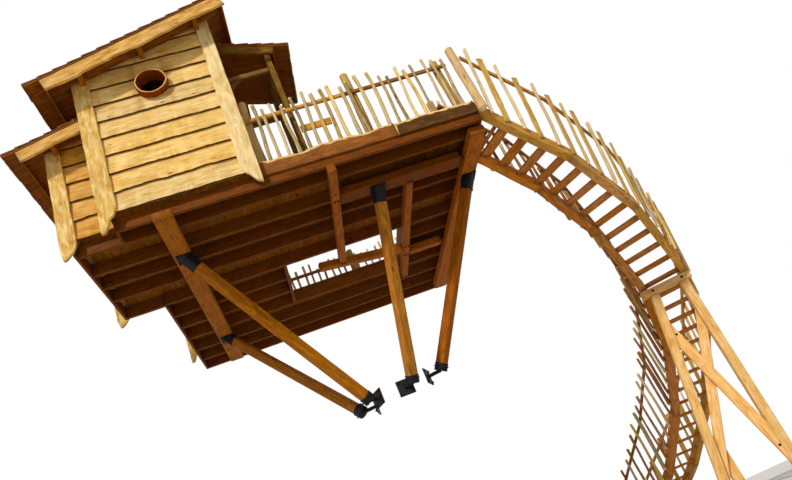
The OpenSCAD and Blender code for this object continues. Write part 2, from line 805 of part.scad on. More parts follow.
module bay_fascias() {
    for (side = [0, 1]) {
        y = side == 0 ? bay_ry0 - fascia_t : bay_ry1;
        color("#ecc583")
            bay_slope() drawn_y(y, y + fascia_t)
                waney_outline(bay_u0 - 25, -corner_over - 8, roof_t - fascia_h + 40, roof_t,
                    9 + side, true);
    }
    color("#7c3b20")
        bay_slope() block(bay_u0 - 25, bay_u0, bay_ry0 + clear, bay_ry1 - clear, -130, 0);
}

// Porch over the doorway
post_x = cab_x1 + porch_w - post_in;
module under_porch() {
    difference() {
        children();
        porch_slope() above();
    }
}
tie_z = floor_h + porch_tie;
tie_h = 90;
module porch_frame() {
    plate_top = floor_h + porch_h;
    plate_low = plate_top - (porch_w - post_in) * tan(porch_pitch) - plate_h;
    front = porch_y0 + 40;
    back = porch_y1 - 40 - post_w;
    color("#8a5428")
        under_porch() {
            for (y = [front, back])
                block(post_x, post_x + post_w, y, y + post_w, floor_h, plate_top);
            block(post_x, post_x + post_w, porch_y0, porch_y1, plate_low, plate_top);
            for (y = [front, back])
                block(cab_x1, post_x, y + 15, y + post_w - 15, tie_z, tie_z + tie_h);
        }
}
module porch_brace() {
    r_in = 900;
    depth = 75;
    a0 = 8;
    a1 = 62;
    y = porch_y0 + 40 + 15;
    arc_in = [for (a = [a0:6:a1]) [r_in * cos(a), r_in * sin(a)]];
    arc_out = [for (a = [a1:-6:a0]) [(r_in + depth) * cos(a), (r_in + depth) * sin(a)]];
    color("#9a6230")
        difference() {
            translate([post_x - 30, 0, tie_z - (r_in + depth) * sin(a1) + 70])
                drawn_y(y, y + post_w - 30)
                    mirror([1, 0, 0]) polygon(concat(arc_in, arc_out));
            block(-big, big, -big, big, tie_z - clear, big);
            block(-big, cab_x1 + clear, -big, big, -big, big);
            block(post_x - clear, big, -big, big, -big, big);
        }
}
module porch_roof_deck() {
    color("#6f3a20")
        porch_slope() block(0, porch_u1 + porch_drip, porch_y0, porch_y1, 0, roof_t);
}
module porch_roof_shakes() {
    color("#8c4a2a")
        porch_slope() translate([0, 0, roof_t])
            drawn_y(porch_y0 - fascia_t - 20, porch_y1 + 20)
                mirror([1, 0, 0]) shake_section(-porch_u1 - porch_drip - 15, 0);
}
module porch_fascias() {
    color("#c08a4a")
        porch_slope() {
            drawn_y(porch_y0 - fascia_t, porch_y0)
                waney_outline(corner_over + 60, porch_u1, roof_t - porch_fascia_h, roof_t, 11, true);
            block(porch_u1 - 25, porch_u1, porch_y0 + clear, porch_y1, -110, 0);
        }
}

// Railings of the deck
rail_z = floor_h + rail_h;
rail_line = stick_d * 1.12 + 4;
post_line = rail_line + rail_t + log_d / 2;
function stick_r(k) = stick_d / 2 * (0.72 + 0.4 * noise(k));
// A stick that sways along local x, and leans out over the given side by a flare.
// At its foot it touches the plane y = 0.
module stick(k, height, side, sway = 2.4, out = 0, swell = 1) {
    r = stick_r(k) * swell;
    lean = sway * (noise(k + 40) - 0.5);
    translate([0, side * (r * cos(22.5) * cos(out) + clear), clear + r * (sin(abs(lean)) + sin(out))])
        rotate([-side * out, 0, 0])
            rotate([0, lean, 0])
                rotate([0, 0, 22.5])
                    cylinder(r = r, h = height * (0.93 + 0.12 * noise(k + 80)), $fn = 8);
}
// A row of sticks from p to q, along the face of a handrail.
module stick_row(p, q, k, side) {
    n = floor(norm(q - p) / stick_pitch);
    turn = atan2(q.y - p.y, q.x - p.x);
    for (i = [0:n])
        translate(p + (q - p) * i / n) rotate([0, 0, turn]) stick(k + i, stick_h, side);
}
cab_side = cab_x1 + 60;
stair_y = deck_y0 + stair_set;
right_y0 = stair_y + (stair_w / 2 + stringer_t) / cos(stair_turn) + 80;
module front_railing() {
    color("#9a8a62")
        stick_row([cab_side + 90, deck_y0 + rail_line, floor_h],
            [deck_x1 - 60, deck_y0 + rail_line, floor_h], 1, -1);
}
module right_railing() {
    color("#9a8a62")
        stick_row([deck_x1 + rim_t - rail_line, right_y0 + 40, floor_h],
            [deck_x1 + rim_t - rail_line, deck_y1 - 160, floor_h], 101, -1);
}
module back_railing() {
    color("#9a8a62")
        stick_row([deck_x0 + 60, deck_y1 - rail_line, floor_h],
            [deck_x1 - 60, deck_y1 - rail_line, floor_h], 201, 1);
}
left_y0 = cab_y1 + corner_t + clear;
module left_railing() {
    color("#9a8a62")
        stick_row([deck_x0 - rim_t + rail_line, left_y0 + 70, floor_h],
            [deck_x0 - rim_t + rail_line, deck_y1 - 160, floor_h], 251, 1);
}
module handrails() {
    low = rail_z - rail_w;
    right_x = deck_x1 + rim_t - rail_line;
    left_x = deck_x0 - rim_t + rail_line;
    side_y1 = deck_y1 - rail_line - rail_t - clear;
    color("#b8763a") {
        block(cab_x1 + clear, deck_x1, deck_y0 + rail_line, deck_y0 + rail_line + rail_t,
            low, rail_z);
        // A short board behind the sticks, halfway up.
        block(cab_x1 + porch_w - 120, cab_x1 + porch_w + 380, deck_y0 + rail_line,
            deck_y0 + rail_line + 25, floor_h + rail_h * 0.5, floor_h + rail_h * 0.62);
        block(right_x - rail_t, right_x, right_y0, side_y1, low, rail_z);
        block(deck_x0, deck_x1, deck_y1 - rail_line - rail_t, deck_y1 - rail_line, low, rail_z);
        block(left_x, left_x + rail_t, left_y0, side_y1, low, rail_z);
    }
}
module log_post(x, y, h = rail_h + 190) {
    translate([x, y, floor_h]) cylinder(d = log_d, h = h);
}
// The newel stands beside the stair's outer stringer, just ahead of the first tread.
module newel(grow = 0) {
    p = beside(newel_s, -half_w - stringer_t - newel_d / 2 - clear);
    translate([p.x, p.y, floor_h - 150 - grow]) cylinder(d = newel_d + 2 * grow, h = rail_h + 310);
}
module railing_posts() {
    front = deck_y0 + post_line;
    back = deck_y1 - post_line;
    right = deck_x1 + rim_t - post_line;
    left = deck_x0 - rim_t + post_line;
    first = cab_side + log_d;
    color("#8d6a44") {
        for (share = [0, 0.535]) log_post(first + (right - first) * share, front, tall_log_h);
        log_post(right, front);
        for (i = [0:3]) log_post(left + (right - left) * i / 3, back);
        for (y = [right_y0 + log_d / 2, (right_y0 + deck_y1) / 2]) log_post(right, y);
        newel();
    }
}

// Stair: the walking line starts square with the stair's head and then turns left.
stair_x = deck_x1 + rim_t;
walk_x = deck_x1 + 42;
slope = rise / going;
ring_step = going / 2;
newel_s = -ring_step;
function heading(s) = stair_turn + max(0, s - stair_lead) / stair_r * 180 / PI;
function walk(s) = [
    walk_x + cos(stair_turn) * min(s, stair_lead)
        + stair_r * (sin(heading(s)) - sin(stair_turn)),
    stair_y + sin(stair_turn) * min(s, stair_lead)
        + stair_r * (cos(stair_turn) - cos(heading(s)))];
function left_of(s) = [-sin(heading(s)), cos(heading(s))];
function tread_line(s) = floor_h - top_drop - s * slope;
ground_z = tread_line((tread_n + 1) * going);
function beside(s, off) = walk(s) + left_of(s) * off;

// A bar swept along the stair between two offsets from the walking line, in
// straight lengths of half a going from s = s0. Its head is cut back to the deck's edge.
module swept_bar(off0, off1, up0, up1, k, amp, s0 = -going) {
    n = ceil((stair_end - s0) / ring_step);
    ring = [for (i = [0:n]) let (s = s0 + i * ring_step, z = tread_line(s),
        lo = max(ground_z, z + up0 + amp * wavy(s / 2, k)), hi = max(lo + 30, z + up1),
        a = beside(s, off0), b = beside(s, off1))
        each [[a.x, a.y, lo], [b.x, b.y, lo], [b.x, b.y, hi], [a.x, a.y, hi]]];
    sides = [for (i = [0:n - 1]) for (j = [0:3]) let (a = 4 * i + j, b = 4 * i + (j + 1) % 4)
        [a, a + 4, b + 4, b]];
    last = 4 * n;
    difference() {
        polyhedron(ring, concat(sides, [[0, 1, 2, 3], [last + 3, last + 2, last + 1, last]]),
            convexity = 12);
        block(-big, stair_x + clear, -big, big, -big, big);
    }
}
stringer_up = 60;
half_w = stair_w / 2;
stair_end = (tread_n + 0.9) * going;
module stringer_outer() {
    color("#a8642c")
        difference() {
            swept_bar(-half_w - stringer_t, -half_w, stringer_up - stringer_h, stringer_up, 1, 0.45);
            cap_seat();
        }
}
module stringer_inner() {
    color("#a8642c")
        difference() {
            swept_bar(half_w, half_w + stringer_t, stringer_up - stringer_h, stringer_up, 2, 0.45);
            cap_seat();
        }
}
module tread(s, z, depth) {
    // The straight end of a tread has to clear the bend in the outer stringer.
    bend = s > 0 ? depth / 2 * ring_step / 2 / stair_r : 0;
    p = walk(s);
    translate([p.x, p.y, z - tread_t])
        rotate([0, 0, heading(s)])
            block(-depth / 2, depth / 2, -half_w + bend + clear, half_w - clear, 0, tread_t);
}
module stair_treads() {
    color("#9c5a2a") {
        difference() {
            tread(0, floor_h - top_drop, tread_d * 1.8);
            block(-big, stair_x + clear, -big, big, -big, big);
        }
        for (i = [1:tread_n]) tread(i * going, tread_line(i * going), tread_d);
    }
}
// A stick beside one straight length, against the stringer's outer face.
stick_up = stringer_up - stringer_h + 110;
function on_chord(s, off) = let (i = floor(s / ring_step), t = s / ring_step - i)
    beside(i * ring_step, off) * (1 - t) + beside((i + 1) * ring_step, off) * t;
module stair_stick(s, side, k, out, swell) {
    edge = side * (half_w + stringer_t);
    p = on_chord(s, edge);
    run = on_chord(s + 5, edge) - p;
    translate([p.x, p.y, max(tread_line(s) + stick_up, ground_z)])
        rotate([0, 0, atan2(run.y, run.x)]) stick(k, stair_stick_h, side, 1.2, out, swell);
}
// A slab sawn off a log's outside, which leans out with the outer sticks.
module stair_slab(s, k) {
    p = on_chord(s, -half_w - stringer_t);
    run = on_chord(s + 5, -half_w - stringer_t) - p;
    half = slab_w / 2 * (0.75 + 0.45 * noise(k));
    translate([p.x, p.y, max(tread_line(s) + stick_up, ground_z)])
        rotate([0, 0, atan2(run.y, run.x)])
            translate([0, -clear, clear + slab_t * sin(flare)])
                rotate([flare, 0, 0])
                    block(-half, half, -slab_t, 0, 0, stair_stick_h * (0.9 + 0.12 * noise(k + 80)));
}
// Sticks keep clear of the bends between the straight lengths.
function stick_s(i) = ring_step / 6 + i * stair_pitch;
stair_stick_n = floor((stair_end - 2 * ring_step) / stair_pitch);
module stair_sticks_outer() {
    color("#a88a56")
        for (i = [0:stair_stick_n])
            if (i % 2 == 1) stair_slab(stick_s(i), 300 + i);
            else stair_stick(stick_s(i), -1, 300 + i, flare, 1);
}
module stair_sticks_inner() {
    color("#a88a56")
        for (i = [2:stair_stick_n]) stair_stick(stick_s(i), 1, 400 + i, 0, i % 6 == 2 ? 1.8 : 1);
}
module stair_rails() {
    edge = half_w + stringer_t;
    out = edge + (stair_rail_h - rail_w - stick_up - slab_w * 0.6 * slope) * tan(flare) - 2;
    color("#b8763a") {
        difference() {
            swept_bar(-out, -out + rail_t, stair_rail_h - rail_w, stair_rail_h, 3, 0, newel_s);
            newel(clear);
        }
        swept_bar(edge - rail_t, edge, stair_rail_h - rail_w, stair_rail_h, 4, 0);
    }
}

// Trestle under the middle of the stair
cap_top = tread_line(trestle_s) + stringer_up - stringer_h + 5;
cap_len = stair_w + 2 * stringer_t + 24;
cap_low = cap_top - cap_h;
module in_trestle() {
    p = walk(trestle_s);
    translate([p.x, p.y, 0]) rotate([0, 0, heading(trestle_s) - 90 + trestle_turn]) children();
}
module leaning(u_top, u_low, z_top, z_low, w) {
    polygon([[u_top - w / 2, z_top], [u_top + w / 2, z_top], [u_low + w / 2, z_low],
        [u_low - w / 2, z_low]]);
}
module cap_beam(grow = 0) {
    in_trestle() block(-cap_len / 2 - grow, cap_len / 2 + grow, -leg_w / 2 - grow,
        leg_w / 2 + grow, cap_low - grow, cap_top + grow);
}
// The seat that the cap takes in the underside of a stringer.
module cap_seat() {
    cap_beam(clear);
    in_trestle() block(-cap_len, cap_len, -leg_w / 2 - clear, leg_w / 2 + clear,
        cap_top - big / 10, cap_top + clear);
}
module trestle_cap() {
    color("#d9a05a") cap_beam();
}
module trestle_legs() {
    color("#d39a55")
        in_trestle() {
            drawn_y(-leg_w / 2, leg_w / 2) {
                leaning(-left_leg_top, -left_leg_foot, cap_low, ground_z, leg_w);
                leaning(right_leg_top, right_leg_foot, cap_low, ground_z, leg_w);
            }
            block(-left_leg_foot + 246, -left_leg_foot + 406, leg_w / 2 + clear,
                leg_w / 2 + clear + 150, ground_z, ground_z + foot_post_h);
        }
}
// The clear space between the two legs.
module between_legs() {
    half = leg_w / 2 + clear;
    polygon([[-left_leg_top + half, cap_low - clear], [right_leg_top - half, cap_low - clear],
        [right_leg_foot - half, ground_z], [-left_leg_foot + half, ground_z]]);
}
module trestle_braces() {
    color("#dba660")
        in_trestle() {
            drawn_y(-leg_w / 2, -leg_w / 2 + brace_t)
                intersection() {
                    between_legs();
                    leaning(front_brace[0], front_brace[1], cap_low, ground_z, brace_w);
                }
            drawn_y(leg_w / 2 - brace_t, leg_w / 2)
                intersection() {
                    between_legs();
                    leaning(back_brace[0], back_brace[1], cap_low, ground_z, brace_w);
                }
        }
}

trunk_brackets();
strut_sockets();
strut_front_left();
strut_back_left();
strut_front_right();
strut_far_right();
beam_left();
beam_right();
beam_middle();
beam_inner();
cross_beam();
trunk_yokes();
floor_joists();
rim_boards();
floor_boards();
live_edges();
front_wall();
left_wall();
back_wall();
right_wall();
bay_front_wall();
bay_side_wall();
bay_back_wall();
window_ring();
front_corner_boards();
back_corner_boards();
main_purlins();
main_roof_deck();
main_roof_shakes();
main_fascias();
bay_purlins();
bay_roof_deck();
bay_roof_shakes();
bay_fascias();
porch_frame();
porch_brace();
porch_roof_deck();
porch_roof_shakes();
porch_fascias();
railing_posts();
front_railing();
right_railing();
back_railing();
left_railing();
handrails();
stringer_outer();
stringer_inner();
stair_treads();
stair_sticks_outer();
stair_sticks_inner();
stair_rails();
trestle_cap();
trestle_legs();
trestle_braces();
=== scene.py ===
"""Tree house: a lapped cabin with a bay and a porch on a railed deck, with raking struts below it
and a curved stair."""

import logging
import math
from dataclasses import dataclass
from enum import Enum
from functools import partial
from typing import Callable, Sequence

import bmesh
import bpy
import numpy as np
from bpy.types import Material, Node, NodeSocket, NodeTree
from mathutils import Matrix, Vector


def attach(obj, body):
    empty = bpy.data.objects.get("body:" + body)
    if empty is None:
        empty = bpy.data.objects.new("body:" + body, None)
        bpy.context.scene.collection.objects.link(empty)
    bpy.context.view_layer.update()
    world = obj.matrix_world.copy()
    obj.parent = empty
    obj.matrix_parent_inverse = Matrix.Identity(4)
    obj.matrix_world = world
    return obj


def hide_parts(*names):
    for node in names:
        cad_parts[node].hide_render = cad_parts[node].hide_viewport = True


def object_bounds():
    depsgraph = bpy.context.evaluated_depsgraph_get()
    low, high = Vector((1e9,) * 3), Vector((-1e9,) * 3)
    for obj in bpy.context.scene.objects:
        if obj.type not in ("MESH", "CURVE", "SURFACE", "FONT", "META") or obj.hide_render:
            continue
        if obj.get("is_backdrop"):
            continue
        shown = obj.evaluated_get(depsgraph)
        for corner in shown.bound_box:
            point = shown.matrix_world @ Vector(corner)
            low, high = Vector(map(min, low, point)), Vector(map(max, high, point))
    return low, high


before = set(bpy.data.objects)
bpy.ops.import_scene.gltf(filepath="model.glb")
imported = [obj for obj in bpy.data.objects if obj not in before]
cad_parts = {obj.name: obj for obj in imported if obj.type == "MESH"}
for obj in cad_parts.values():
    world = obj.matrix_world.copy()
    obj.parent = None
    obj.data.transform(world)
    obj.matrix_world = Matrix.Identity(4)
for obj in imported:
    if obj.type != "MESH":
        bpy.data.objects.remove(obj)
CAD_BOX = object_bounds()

LOG = logging.getLogger("tree_house")
MM = 0.001
BODY = "root"
ACROSS = np.array([1.0, 0.0, 0.0])
BACKWARD = np.array([0.0, 1.0, 0.0])
UP = np.array([0.0, 0.0, 1.0])
Array = np.ndarray
Pair = tuple[float, float]
Triple = tuple[float, float, float]


def hex_linear(code: str) -> tuple[float, float, float, float]:
    """Turn a colour written as sRGB hex into the linear colour that a shader takes.

    Args:
        code: the colour, such as "#c98f45".

    Returns:
        Red, green, blue and alpha, linear, from 0 to 1.
    """
    parts = [int(code.lstrip("#")[i:i + 2], 16) / 255 for i in (0, 2, 4)]
    linear = [c / 12.92 if c <= 0.04045 else ((c + 0.055) / 1.055) ** 2.4 for c in parts]
    return linear[0], linear[1], linear[2], 1.0


def add_node(tree: NodeTree, kind: str, settings: dict) -> Node:
    """Add one node with its settings and links.

    Args:
        tree: the node tree.
        kind: Blender's name for the kind of node, without its "ShaderNode".
        settings: values by the name of a property, by an input's name or number, or under
            "stops" the places and colours of a ramp. Text that starts with # is a colour. A
            socket is linked to the input, and so is a node's first output.

    Returns:
        The new node.
    """
    node = tree.nodes.new("ShaderNode" + kind)
    for key, value in settings.items():
        if key == "stops":
            ramp = node.color_ramp
            while len(ramp.elements) < len(value):
                ramp.elements.new(0.5)
            for element, (place, code) in zip(ramp.elements, value):
                element.position = place
                element.color = hex_linear(code)
        elif isinstance(value, Node):
            tree.links.new(value.outputs[0], node.inputs[key])
        elif isinstance(value, NodeSocket):
            tree.links.new(value, node.inputs[key])
        elif isinstance(key, str) and hasattr(node, key):
            setattr(node, key, value)
        else:
            colour = isinstance(value, str) and value.startswith("#")
            node.inputs[key].default_value = hex_linear(value) if colour else value
    return node


@dataclass(frozen=True)
class WoodGrain:
    """What every wood finish here shares: its growth rings, fibres and knots, worked out in the
    piece's own millimetres. The pattern follows each board, and shows as rings on its ends."""

    ring_mm: float
    fibre_mm: float
    knot_gap_mm: float
    knot_size: float

    def outputs(self, tree: NodeTree) -> dict[str, Node | NodeSocket]:
        """Build the pattern.

        Args:
            tree: the node tree.

        Returns:
            Values by name: ring, fibre, knot, mottle (stains along the grain), luck (a colour of
            chances for each board), own (the place in the board), end (mm from the board's nearer
            end) and world.
        """
        add = partial(add_node, tree)
        grain = add("Attribute", {"attribute_name": "grain"}).outputs["Vector"]
        board = add("Attribute", {"attribute_name": "board"}).outputs["Fac"]
        luck = add("TexWhiteNoise", {"noise_dimensions": "1D", "W": board}).outputs["Color"]
        own = add("VectorMath", {
            "operation": "MULTIPLY_ADD", 0: luck, 1: (9000, 700, 700), 2: grain})
        # The fibres run about 40 times as long as they are wide.
        strand = add("VectorMath", {
            "operation": "MULTIPLY", 0: own,
            1: (1 / (40 * self.fibre_mm), 1 / self.fibre_mm, 1 / self.fibre_mm)})
        fibre = add("TexNoise", {"Scale": 1.0, "Detail": 3.0, "Roughness": 0.65, "Vector": strand})
        slow = add("VectorMath", {"operation": "MULTIPLY", 0: own, 1: (1 / 700, 1 / 150, 1 / 150)})
        cloud = add("TexNoise", {"Scale": 1.0, "Detail": 2.0, "Vector": slow})
        # Stains from sap, sun and rain are some 250 mm long and 90 mm wide.
        stain = add("VectorMath", {
            "operation": "MULTIPLY_ADD", 0: own, 1: (1 / 250, 1 / 90, 1 / 90), 2: (40, 7, 3)})
        mottle = add("TexNoise", {
            "Scale": 1.0, "Detail": 4.0, "Roughness": 0.55, "Distortion": 0.5, "Vector": stain})
        # The pith lies some way off each board, and wanders along it.
        pith = add("VectorMath", {
            "operation": "MULTIPLY_ADD", 0: luck, 1: (0, 150, 110), 2: (0, -75, 30)})
        flat = add("VectorMath", {"operation": "MULTIPLY_ADD", 0: grain, 1: (0, 1, 1), 2: pith})
        wander = add("VectorMath", {
            "operation": "MULTIPLY_ADD", 0: cloud.outputs["Color"],
            1: (0, 7 * self.ring_mm, 7 * self.ring_mm), 2: flat})
        reach = add("VectorMath", {"operation": "LENGTH", 0: wander}).outputs["Value"]
        phase = add("Math", {"operation": "MULTIPLY", 0: reach, 1: 2 * math.pi / self.ring_mm})
        wave = add("Math", {"operation": "SINE", 0: phase})
        gap = self.knot_gap_mm
        cell = add("VectorMath", {
            "operation": "MULTIPLY", 0: own, 1: (1 / gap, 3.2 / gap, 3.2 / gap)})
        near = add("TexVoronoi", {"Scale": 1.0, "Vector": cell})
        return {
            "ring": add("MapRange", {0: wave, 1: -1.0}), "fibre": fibre, "mottle": mottle,
            "knot": add("MapRange", {
                "interpolation_type": "SMOOTHSTEP", 0: near, 1: self.knot_size * 0.45,
                2: self.knot_size, 3: 1.0, 4: 0.0}),
            "luck": luck, "own": own,
            "end": add("Attribute", {"attribute_name": "end"}).outputs["Fac"],
            "world": add("TexCoord", {}).outputs["Object"]}


def vary(tree: NodeTree, luck: NodeSocket,
         colour: Node | NodeSocket, ranges: dict[str, Pair]) -> Node:
    """Change a colour a little from board to board, since no two have quite the same.

    Args:
        tree: the node tree.
        luck: the board's chances.
        colour: the colour.
        ranges: the ranges of its value, saturation and hue.

    Returns:
        The node of the changed colour.
    """
    chance = add_node(tree, "SeparateColor", {"Color": luck}).outputs
    changes = {name: add_node(tree, "MapRange", {0: chance[i], 3: low, 4: high})
               for i, (name, (low, high)) in enumerate(ranges.items())}
    return add_node(tree, "HueSaturation", {"Color": colour, **changes})


@dataclass(frozen=True)
class Surface:
    """A finish, which builds its material the first time that it is asked for."""

    name: str

    def skin(self, tree: NodeTree) -> Node:
        """Build the nodes that give the finish its look.

        Args:
            tree: the material's node tree.

        Returns:
            The shader that they lead to.
        """
        raise NotImplementedError

    def material(self) -> Material:
        """Give the material.

        Returns:
            The material, built now or before.
        """
        made = bpy.data.materials.get(self.name)
        if made:
            return made
        made = bpy.data.materials.new(self.name)
        made.use_nodes = True
        made.node_tree.nodes.clear()
        add_node(made.node_tree, "OutputMaterial", {"Surface": self.skin(made.node_tree)})
        return made


@dataclass(frozen=True)
class SawnTimber(Surface):
    """Sawn larch or oak, some of it oiled: straight fibres, growth rings and dark knots under a
    dull surface, with patches that cross the boards, partly weathering and partly painted shade
    from the dapple of leaves."""

    pale: str
    mid: str
    dark: str
    knot: str
    weather: str
    weathered: float = 0.30
    # Real rings are 3 to 5 mm wide, too fine for the render, so that they are drawn coarser.
    ring_mm: float = 24.0
    fibre_mm: float = 7.0
    knot_gap_mm: float = 640.0
    knot_size: float = 0.10
    ring_share: float = 0.22
    stain_share: float = 0.5
    roughness: float = 0.62
    relief_mm: float = 1.6

    def skin(self, tree: NodeTree) -> Node:
        """Build the nodes that give the timber its look.

        Args:
            tree: the material's node tree.

        Returns:
            The shader that they lead to.
        """
        add = partial(add_node, tree)
        grain = WoodGrain(self.ring_mm, self.fibre_mm, self.knot_gap_mm, self.knot_size)
        wood = grain.outputs(tree)
        mixed = add("Math", {
            "operation": "MULTIPLY_ADD", 0: wood["ring"], 1: self.ring_share, 2: wood["fibre"]})
        stained = add("Math", {
            "operation": "MULTIPLY_ADD", 0: wood["mottle"], 1: self.stain_share, 2: mixed})
        middle = 0.5 * (1 + self.ring_share + self.stain_share)
        spread = 0.17 + 0.35 * self.ring_share + 0.13 * self.stain_share
        figure = add("MapRange", {0: stained, 1: middle - spread, 2: middle + spread})
        colour = add("ValToRGB", {
            "stops": ((0.0, self.dark), (0.42, self.mid), (0.9, self.pale)), "Fac": figure})
        board = vary(tree, wood["luck"], colour, {
            "Value": (0.88, 1.08), "Saturation": (0.97, 1.10), "Hue": (0.495, 0.506)})
        knotted = add("Mix", {"data_type": "RGBA", 0: wood["knot"], 6: board, 7: self.knot})
        # Patches half a metre and more across are partly weathering and partly painted shade
        # from the dapple of leaves.
        patch = add("TexNoise", {
            "Scale": 1.7, "Detail": 5.0, "Roughness": 0.62, "Vector": wood["world"]})
        weather_and_dapple = add("MapRange", {0: patch, 1: 0.46, 2: 0.70, 4: self.weathered})
        aged = add("Mix", {
            "data_type": "RGBA", 0: weather_and_dapple, 6: knotted.outputs[2], 7: self.weather})
        # The last 90 mm of a board take up water and darken.
        tip = add("MapRange", {0: wood["end"], 2: 90.0, 3: 0.45, 4: 0.0})
        ended = add("Mix", {"data_type": "RGBA", 0: tip, 6: aged.outputs[2], 7: self.dark})
        gloss = add("MapRange", {
            0: wood["fibre"], 3: self.roughness - 0.10, 4: self.roughness + 0.14})
        lumps = add("Math", {"operation": "MULTIPLY_ADD", 0: wood["knot"], 1: -0.8, 2: mixed})
        bump = add("Bump", {"Strength": 0.55, "Distance": self.relief_mm * MM, "Height": lumps})
        return add("BsdfPrincipled", {
            "Specular IOR Level": 0.10, "Base Color": ended.outputs[2], "Roughness": gloss,
            "Normal": bump})


@dataclass(frozen=True)
class PeeledBranch(Surface):
    """Branches and logs with the bark drawn off by hand: straw-coloured wood that has greyed, brown
    rags of the inner bark, small side knots, and pale fresh cuts at the ends."""

    straw: str
    grey: str
    bast: str
    cut: str
    bast_share: float = 0.45
    # The rags of inner bark are some 30 mm wide and 150 mm long.
    rag_mm: float = 30.0
    knot: str = "#3a2818"
    roughness: float = 0.58

    def skin(self, tree: NodeTree) -> Node:
        """Build the nodes that give the branch its look.

        Args:
            tree: the material's node tree.

        Returns:
            The shader that they lead to.
        """
        add = partial(add_node, tree)
        wood = WoodGrain(16.0, 6.0, 260.0, 0.13).outputs(tree)
        figure = add("Math", {"operation": "MULTIPLY_ADD", 0: wood["mottle"], 1: 0.8, 2: -0.15})
        greyed = add("Math", {"operation": "ADD", 0: figure, 1: wood["fibre"]})
        body = add("ValToRGB", {"stops": ((0.42, self.grey), (0.95, self.straw)), "Fac": greyed})
        place = add("VectorMath", {
            "operation": "MULTIPLY", 0: wood["own"],
            1: (0.2 / self.rag_mm, 1 / self.rag_mm, 1 / self.rag_mm)})
        rag = add("TexNoise", {"Scale": 1.0, "Detail": 4.0, "Roughness": 0.7, "Vector": place})
        rags = add("MapRange", {
            0: rag, 1: 0.72 - 0.4 * self.bast_share, 2: 0.80 - 0.4 * self.bast_share, 4: 0.85})
        ragged = add("Mix", {"data_type": "RGBA", 0: rags, 6: body, 7: self.bast})
        knotted = add("Mix", {
            "data_type": "RGBA", 0: wood["knot"], 6: ragged.outputs[2], 7: self.knot})
        stick = vary(tree, wood["luck"], knotted.outputs[2], {
            "Value": (0.66, 1.22), "Saturation": (0.75, 1.15)})
        fresh = add("MapRange", {0: wood["end"], 1: 14.0, 2: 42.0, 3: 1.0, 4: 0.0})
        ended = add("Mix", {"data_type": "RGBA", 0: fresh, 6: stick, 7: self.cut})
        lumps = add("Math", {"operation": "ADD", 0: rag, 1: wood["fibre"]})
        bump = add("Bump", {"Strength": 0.6, "Distance": 2.2 * MM, "Height": lumps})
        gloss = add("MapRange", {
            0: wood["fibre"], 3: self.roughness - 0.08, 4: self.roughness + 0.2})
        return add("BsdfPrincipled", {
            "Specular IOR Level": 0.10, "Base Color": ended.outputs[2], "Roughness": gloss,
            "Normal": bump})


@dataclass(frozen=True)
class SplitShake(Surface):
    """Split and weathered roof shakes: deep straight grooves, red-brown faces that differ from
    shake to shake, and orange wood where the butt was sawn."""

    face: str
    shade: str
    butt: str
    # The grooves that splitting leaves are about 6 mm apart.
    groove_mm: float = 6.0

    def skin(self, tree: NodeTree) -> Node:
        """Build the nodes that give the shakes their look.

        Args:
            tree: the material's node tree.

        Returns:
            The shader that they lead to.
        """
        add = partial(add_node, tree)
        wood = WoodGrain(30.0, self.groove_mm, 900.0, 0.05).outputs(tree)
        base = add("ValToRGB", {
            "stops": ((0.30, self.shade), (0.62, self.face)), "Fac": wood["fibre"]})
        shake = vary(tree, wood["luck"], base, {
            "Value": (0.70, 1.20), "Saturation": (0.84, 1.08)})
        sawn = add("MapRange", {0: wood["end"], 1: 5.0, 2: 22.0, 3: 0.9, 4: 0.0})
        ended = add("Mix", {"data_type": "RGBA", 0: sawn, 6: shake, 7: self.butt})
        bump = add("Bump", {"Strength": 0.8, "Distance": 3.0 * MM, "Height": wood["fibre"]})
        return add("BsdfPrincipled", {
            "Roughness": 0.78, "Specular IOR Level": 0.25, "Base Color": ended.outputs[2],
            "Normal": bump})


@dataclass(frozen=True)
class PaintedSteel(Surface):
    """Welded steel brushed with matt black paint: a soft sheen, brush marks, and some brown where
    rust comes through."""

    name: str = "black_painted_steel"
    paint: str = "#0c0c0e"
    rust: str = "#4a2a1a"
    brush_mm: float = 14.0

    def skin(self, tree: NodeTree) -> Node:
        """Build the nodes that give the painted steel its look.

        Args:
            tree: the material's node tree.

        Returns:
            The shader that they lead to.
        """
        add = partial(add_node, tree)
        world = add("TexCoord", {}).outputs["Object"]
        brush = add("TexNoise", {"Scale": 1000 / self.brush_mm, "Detail": 3.0, "Vector": world})
        # The rusty patches are some 110 mm across.
        patch = add("TexNoise", {"Scale": 9.0, "Detail": 6.0, "Roughness": 0.7, "Vector": world})
        rusty = add("MapRange", {0: patch, 1: 0.60, 2: 0.72, 4: 0.7})
        colour = add("Mix", {"data_type": "RGBA", 0: rusty, 6: self.paint, 7: self.rust})
        gloss = add("MapRange", {0: brush, 3: 0.46, 4: 0.70})
        bump = add("Bump", {"Strength": 0.35, "Distance": 0.6 * MM, "Height": brush})
        return add("BsdfPrincipled", {
            "Specular IOR Level": 0.25, "Base Color": colour.outputs[2], "Roughness": gloss,
            "Normal": bump})


